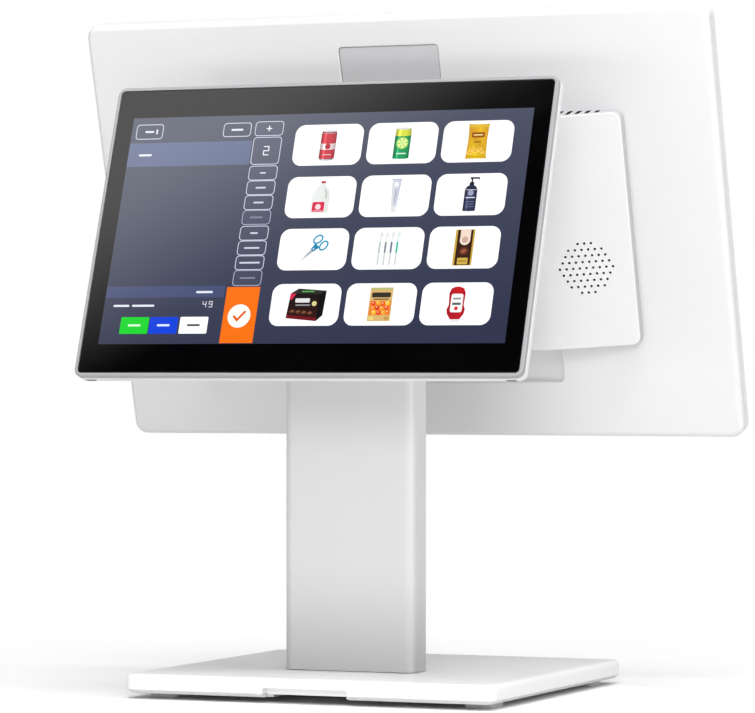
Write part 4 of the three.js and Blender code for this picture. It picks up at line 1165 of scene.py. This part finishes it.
def icon_sauce(p, x, y, k):
    pts = [(x - 2.4, y - 8.0), (x + 2.6, y - 8.0), (x + 4.4, y - 5.2), (x + 4.8, y - 3.0), (x + 3.9, y - 0.5),
           (x + 4.1, y + 2.5), (x + 4.2, y + 5.5), (x + 3.2, y + 8.0), (x + 1.0, y + 8.9), (x - 1.4, y + 8.9),
           (x - 3.4, y + 8.0), (x - 4.3, y + 5.5), (x - 4.1, y + 2.5), (x - 3.9, y - 0.5), (x - 4.8, y - 3.0),
           (x - 4.3, y - 5.2)]
    pts = [(x + (a - x) * k, y + (b - y) * k) for a, b in pts]
    p.poly(pts, lambda u, v: (208 - abs(u - x) * 9, 36 - abs(u - x) * 2, 40), 3)
    p.rect(x - 3.0 * k, x + 3.2 * k, y - 4.4 * k, y + 5.2 * k, (238, 240, 238), 4, 1.1 * k, 4)
    p.rect(x - 2.0 * k, x + 2.1 * k, y + 2.2 * k, y + 3.2 * k, (150, 154, 152), 5)
    p.rect(x - 2.2 * k, x + 2.3 * k, y - 0.6 * k, y + 0.6 * k, (92, 98, 96), 5, 0.3 * k, 2)
    p.ell(x + 0.1 * k, y - 2.4 * k, 0.95 * k, 1.0 * k, (214, 44, 44), 5, 0, 16)
    p.rect(x - 2.3 * k, x + 2.4 * k, y - 9.4 * k, y - 8.0 * k, (226, 226, 230), 3, 0.4 * k, 3)


ICONS = [icon_red_can, icon_green_can, icon_snack_bag, icon_jug, icon_tube, icon_pump,
         icon_scissors, icon_brushes, icon_coffee, icon_dark_box, icon_candy, icon_sauce]


def digit(p, ch, cx, cy, h, w, color, level):
    """Seven-stroke numerals with round joints."""
    t = h * 0.11
    x0, x1, y0, ym, y1 = cx - w / 2, cx + w / 2, cy - h / 2, cy, cy + h / 2
    seg = {"a": [(x0, y1), (x1, y1)], "b": [(x1, y1), (x1, ym)], "c": [(x1, ym), (x1, y0)],
           "d": [(x0, y0), (x1, y0)], "e": [(x0, ym), (x0, y0)], "f": [(x0, y1), (x0, ym)],
           "g": [(x0, ym), (x1, ym)]}
    use = {"0": "abcdef", "1": "bc", "2": "abged", "3": "abgcd", "4": "fgbc", "5": "afgcd",
           "6": "afgedc", "7": "abc", "8": "abcdefg", "9": "abcdfg"}[ch]
    ends = set()
    for k in use:
        p.line(seg[k], t, color, level)
        ends.update(seg[k])
    for e in ends:
        p.ell(e[0], e[1], t / 2, t / 2, color, level, 0, 8)


def paint_screen(name, W, H, front, out, matrix, body, mirror=False, lift=0.0):
    """The checkout picture: order list at the left, key column, pay block, twelve goods."""
    p = Picture()
    kx, ky = W / 222.7, H / 125.3
    k = min(kx, ky)

    def bg(u, v):
        a = (u / W + 0.5)  # 0 left .. 1 right
        b = (0.5 - v / H)  # 0 top .. 1 bottom
        t = min(max(0.30 * a + 0.78 * b, 0.0), 1.0)
        return (86 - 36 * t + lift, 90 - 36 * t + lift, 106 - 30 * t + lift)
    grid_fill(p, -W / 2, W / 2, -H / 2, H / 2, 16, 9, bg, 0)

    def lighter(d):
        return lambda u, v: tuple(c + d for c in bg(u, v))

    def X(u):
        return u * kx

    def Y(v):
        return v * ky
    # order list
    grid_fill(p, X(-111.3), X(-41.6), Y(35.2), Y(48.4), 6, 2,
              lambda u, v: (bg(u, v)[0] + 20, bg(u, v)[1] + 26, bg(u, v)[2] + 40), 1)
    grid_fill(p, X(-111.3), X(-44.4), Y(-37.4), Y(-31.2), 6, 1,
              lambda u, v: (bg(u, v)[0] + 10, bg(u, v)[1] + 14, bg(u, v)[2] + 30), 1)
    line = (206, 210, 226)
    ink = (226, 230, 240)
    p.frame(X(-108.5), X(-93.4), Y(50.7), Y(58.7), 1.6 * k, 0.42 * k, line, 2)
    p.words(X(-101), Y(54.7), 2.7 * k, [3], ink, 2)
    p.rect(X(-97.2), X(-96.3), Y(53.4), Y(56.0), ink, 2)
    p.frame(X(-58.6), X(-43.2), Y(51.0), Y(58.4), 1.6 * k, 0.42 * k, line, 2)
    p.words(X(-50.9), Y(54.7), 2.7 * k, [4], ink, 2, seed=4)
    p.words(X(-101.4), Y(41.6), 3.0 * k, [4], ink, 2, seed=2)
    # key column
    keys = [(51.1, 58.8), (35.2, 50.1), (26.5, 34.2), (18.4, 26.0), (10.2, 17.9), (2.1, 9.7), (-6.5, 1.1),
            (-14.6, -7.0), (-22.6, -15.1), (-31.2, -23.1)]
    for i, (a, b) in enumerate(keys):
        x0, x1 = (-40.6, -25.0)
        dim = i in (5, 9)
        grid_fill(p, X(x0 + 0.6), X(x1 - 0.6), Y(a + 0.5), Y(b - 0.5), 2, 1,
                  lambda u, v: tuple(c + 9 for c in bg(u, v)), 1)
        p.frame(X(x0), X(x1), Y(a), Y(b), 1.7 * k, 0.40 * k, (168, 174, 196) if dim else line, 2)
        c = (a + b) / 2
        mid = X((x0 + x1) / 2)
        if i == 0:
            p.rect(mid - 1.5 * k, mid + 1.5 * k, Y(c) - 0.28 * k, Y(c) + 0.28 * k, (240, 242, 248), 3)
            p.rect(mid - 0.28 * k, mid + 0.28 * k, Y(c) - 1.5 * k, Y(c) + 1.5 * k, (240, 242, 248), 4)
        elif i == 1:
            digit(p, "2", mid, Y(c), 4.6 * k, 2.7 * k, (236, 238, 246), 3)
        elif i == 2:
            p.rect(mid - 1.5 * k, mid + 1.5 * k, Y(c) - 0.28 * k, Y(c) + 0.28 * k, (240, 242, 248), 3)
        else:
            p.words(mid, Y(c), 2.3 * k, [[4], [4], [5], [3], [6], [8], [6]][i - 3],
                    (128, 134, 156) if dim else (206, 210, 224), 3, seed=i)
    # totals
    p.words(X(-55.6), Y(-34.6), 3.0 * k, [5], ink, 3, seed=5)
    p.words(X(-94.4), Y(-41.8), 2.9 * k, [5, 7], ink, 2, seed=3)
    digit(p, "4", X(-54.6), Y(-41.2), 3.0 * k, 1.7 * k, ink, 2)
    digit(p, "9", X(-51.2), Y(-41.2), 3.0 * k, 1.7 * k, ink, 2)
    for (x0, x1), col, ic, n in (((-100.4, -84.5), (28, 206, 48), (214, 246, 216), 4),
                                 ((-83.9, -68.1), (24, 66, 214), (222, 230, 255), 4),
                                 ((-66.9, -51.2), (250, 250, 252), (70, 72, 80), 4)):
        p.rect(X(x0), X(x1), Y(-57.1), Y(-48.0), col, 2, 0.6 * k, 3)
        p.words(X((x0 + x1) / 2), Y(-52.5), 2.9 * k, [n], ic, 3, seed=n + int(abs(x0)))
    # pay block
    p.rect(X(-43.2), X(-24.8), -H / 2 + 0.4, Y(-32.0), (243, 112, 24), 2)
    p.ell(X(-34.3), Y(-47.7), 6.3 * k, 6.3 * k, (255, 246, 238), 3, 0, 40)
    p.line([(X(-34.3) - 3.1 * k, Y(-47.6)), (X(-34.3) - 0.9 * k, Y(-47.7) - 2.2 * k),
            (X(-34.3) + 3.3 * k, Y(-47.7) + 2.6 * k)], 1.25 * k, (222, 88, 24), 4)
    # goods
    tw, th = 37.9, 22.5
    i = 0
    for cy_ in (45.1, 16.4, -12.0, -41.9):
        for cx_ in (1.4, 42.3, 83.1):
            x, y = X(cx_), Y(cy_)
            w2, h2 = tw * kx / 2, th * ky / 2
            p.rect(x - w2, x + w2, y - h2, y + h2, (253, 253, 254), 2, 5.2 * k, 8)
            ICONS[i](p, x, y, k * 1.02)
            i += 1
    o = p.build(name, front, out)
    me = o.data
    me.transform(matrix)
    me.materials.append(SCREEN)
    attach(o, body)
    return o


# ------------------------------------------------------------------ carried-over CAD nodes
def dress(node, material):
    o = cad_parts[node]
    for s in o.material_slots:
        s.link = "OBJECT"
        s.material = material
    if not o.material_slots:
        o.data.materials.append(material)


build_stand()
build_customer()
build_main()
paint_screen("customer_picture", 222.7, 125.3, 0.0, -1, CUST, "customer_display")
flip = MAIN @ Matrix.Rotation(math.pi, 4, "Z")
paint_screen("operator_picture", 344.2, 193.6, -11.1, -1, flip, "main_unit", lift=0)

for n, m in {
    "base_weight_plate": PHOSPHATE, "column_spine": ZINC,
    "customer_lcd_module": MODULE, "customer_driver_board": BOARD, "main_lcd_module": MODULE,
    "main_chassis_plate": SHEET_ALU, "mainboard": BOARD, "heat_spreader": SHEET_ALU,
    "speaker_left": SPEAKER, "speaker_right": SPEAKER, "power_button_board": BOARD,
    "lan_port": BLACK_PLASTIC, "drawer_port": BLACK_PLASTIC, "usb_port_left": ZINC,
    "usb_port_right": ZINC, "dc_inlet": BLACK_PLASTIC,
}.items():
    dress(n, m)


# ------------------------------------------------------------------ room
def floor_material():
    """Pale paper: it gives back less light than it shows, and runs out into the white
    behind the object."""
    m, nt, p = nodes_of("pale_floor")
    tc = nt.nodes.new("ShaderNodeTexCoord")
    path = nt.nodes.new("ShaderNodeLightPath")
    cam_ray = path.outputs["Is Camera Ray"]
    n = noise(nt, tc.outputs["Object"], 3.0, 3.0)
    seen = mixc(nt, n, (0.985, 0.985, 0.985, 1.0), (1.0, 1.0, 1.0, 1.0))
    nt.links.new(mixc(nt, cam_ray, (0.74, 0.74, 0.74, 1.0), seen), p.inputs["Base Color"])
    p.inputs["Roughness"].default_value = 0.8
    p.inputs["Specular IOR Level"].default_value = 0.0
    ln = nt.nodes.new("ShaderNodeVectorMath")
    ln.operation = "LENGTH"
    nt.links.new(tc.outputs["Object"], ln.inputs[0])
    far = nt.nodes.new("ShaderNodeMapRange")
    far.interpolation_type = "SMOOTHSTEP"
    far.inputs[1].default_value, far.inputs[2].default_value = 0.13, 0.50
    nt.links.new(ln.outputs["Value"], far.inputs[0])
    em = nt.nodes.new("ShaderNodeEmission")
    mix = nt.nodes.new("ShaderNodeMixShader")
    nt.links.new(mathn(nt, "MULTIPLY", far.outputs[0], cam_ray), mix.inputs[0])
    nt.links.new(p.outputs[0], mix.inputs[1])
    nt.links.new(em.outputs[0], mix.inputs[2])
    out = next(x for x in nt.nodes if x.type == "OUTPUT_MATERIAL")
    # the paper is clear from below, so that the underside can be looked at
    geo = nt.nodes.new("ShaderNodeNewGeometry")
    clear = nt.nodes.new("ShaderNodeBsdfTransparent")
    top = nt.nodes.new("ShaderNodeMixShader")
    nt.links.new(geo.outputs["Backfacing"], top.inputs[0])
    nt.links.new(mix.outputs[0], top.inputs[1])
    nt.links.new(clear.outputs[0], top.inputs[2])
    nt.links.new(top.outputs[0], out.inputs[0])
    return m


bm = bmesh.new()
S = 40.0
quad = [bm.verts.new(p) for p in ((-S, -S, 0), (S, -S, 0), (S, S, 0), (-S, S, 0))]
bm.faces.new(quad)
floor = finish_bm(bm, "floor_sweep")
floor.data.materials.append(floor_material())

world = bpy.data.worlds.new("studio")
bpy.context.scene.world = world
world.use_nodes = True
wn = world.node_tree
wn.nodes.clear()
wo = wn.nodes.new("ShaderNodeOutputWorld")
bgn = wn.nodes.new("ShaderNodeBackground")
wn.links.new(bgn.outputs[0], wo.inputs[0])
bgn.inputs[0].default_value = (1.0, 1.0, 1.0, 1.0)
AMBIENT = 0.42
lp = wn.nodes.new("ShaderNodeLightPath")
lvl = wn.nodes.new("ShaderNodeMapRange")
lvl.inputs[3].default_value, lvl.inputs[4].default_value = AMBIENT, 1.0
wn.links.new(lp.outputs["Is Camera Ray"], lvl.inputs[0])
wn.links.new(lvl.outputs[0], bgn.inputs[1])


def card(name, centre, facing, w, h, strength, direction):
    """A stage card with a lit gradient: full at one corner, black at the opposite one."""
    z = (Vector(facing) - Vector(centre)).normalized()
    x = Vector((0, 0, 1)).cross(z).normalized()
    y = z.cross(x)
    me = bpy.data.meshes.new(name)
    me.from_pydata([(-w / 2, -h / 2, 0), (w / 2, -h / 2, 0), (w / 2, h / 2, 0), (-w / 2, h / 2, 0)],
                   [], [(0, 1, 2, 3)])
    o = bpy.data.objects.new(name, me)
    bpy.context.scene.collection.objects.link(o)
    o.matrix_world = Matrix.Translation(centre) @ Matrix((x, y, z)).transposed().to_4x4()
    m = bpy.data.materials.new(name)
    m.use_nodes = True
    nt = m.node_tree
    nt.nodes.clear()
    out = nt.nodes.new("ShaderNodeOutputMaterial")
    em = nt.nodes.new("ShaderNodeEmission")
    nt.links.new(em.outputs[0], out.inputs[0])
    tc = nt.nodes.new("ShaderNodeTexCoord")
    dot = nt.nodes.new("ShaderNodeVectorMath")
    dot.operation = "DOT_PRODUCT"
    nt.links.new(tc.outputs["Object"], dot.inputs[0])
    dot.inputs[1].default_value = direction + (0.0,)
    ramp = nt.nodes.new("ShaderNodeMapRange")
    ramp.interpolation_type = "SMOOTHSTEP"
    ramp.inputs[1].default_value, ramp.inputs[2].default_value = 0.03, 0.17
    ramp.inputs[3].default_value, ramp.inputs[4].default_value = 0.0, strength
    nt.links.new(dot.outputs["Value"], ramp.inputs[0])
    nt.links.new(ramp.outputs[0], em.inputs["Strength"])
    me.materials.append(m)
    o.visible_diffuse = False
    o.visible_camera = False
    o.visible_shadow = False
    return o


_c = Vector((0.0, (C_Y + SHIFT) / 1000, C_Z / 1000))
_d = Vector((-0.384, -0.718, 0.581)).normalized()
card("reflected_card", _c + _d * 1.15, _c, 1.5, 1.3, 2.1, (0.766, 0.643))


def area(name, loc, target, size, power, size_y=None, color=(1, 1, 1)):
    d = bpy.data.lights.new(name, "AREA")
    d.shape = "RECTANGLE"
    d.size = size
    d.size_y = size_y or size
    d.energy = power
    d.color = color
    o = bpy.data.objects.new(name, d)
    bpy.context.scene.collection.objects.link(o)
    o.location = loc
    o.rotation_euler = (Vector(target) - Vector(loc)).to_track_quat("-Z", "Y").to_euler()
    o.visible_camera = False
    return o


area("key_front", (0.35, -1.55, 1.15), (0, 0, 0.1), 1.1, 2.6)
area("key_low", (0.02, -1.20, 0.07), (0, 0, 0.24), 1.3, 2.55, 0.12)
area("key_camera_side", (0.59, -1.32, 0.62), (0, 0, 0.2), 0.45, 5.7)
area("top_soft", (0.3, -0.6, 1.9), (0, 0, 0.1), 1.2, 25)
area("side_soft", (1.60, 0.10, 0.75), (0, 0, 0.0), 0.9, 5.6)
strip = area("edge_strip", (1.40, -0.58, 0.25), (0, 0, 0.15), 0.30, 17, 1.1)
strip.visible_diffuse = False

cam_d = bpy.data.cameras.new("camera")
cam = bpy.data.objects.new("camera", cam_d)
bpy.context.scene.collection.objects.link(cam)
cam.location = (0.8033, (-1931.5 + SHIFT) / 1000, 0.1696)
cam.rotation_euler = (rad(90 - 0.17 * -1), 0.0, rad(22.61))
cam_d.sensor_width = 36.0
cam_d.lens = 189.46
cam_d.clip_end = 100.0
bpy.context.scene.camera = cam
bpy.context.scene.view_settings.view_transform = "Standard"
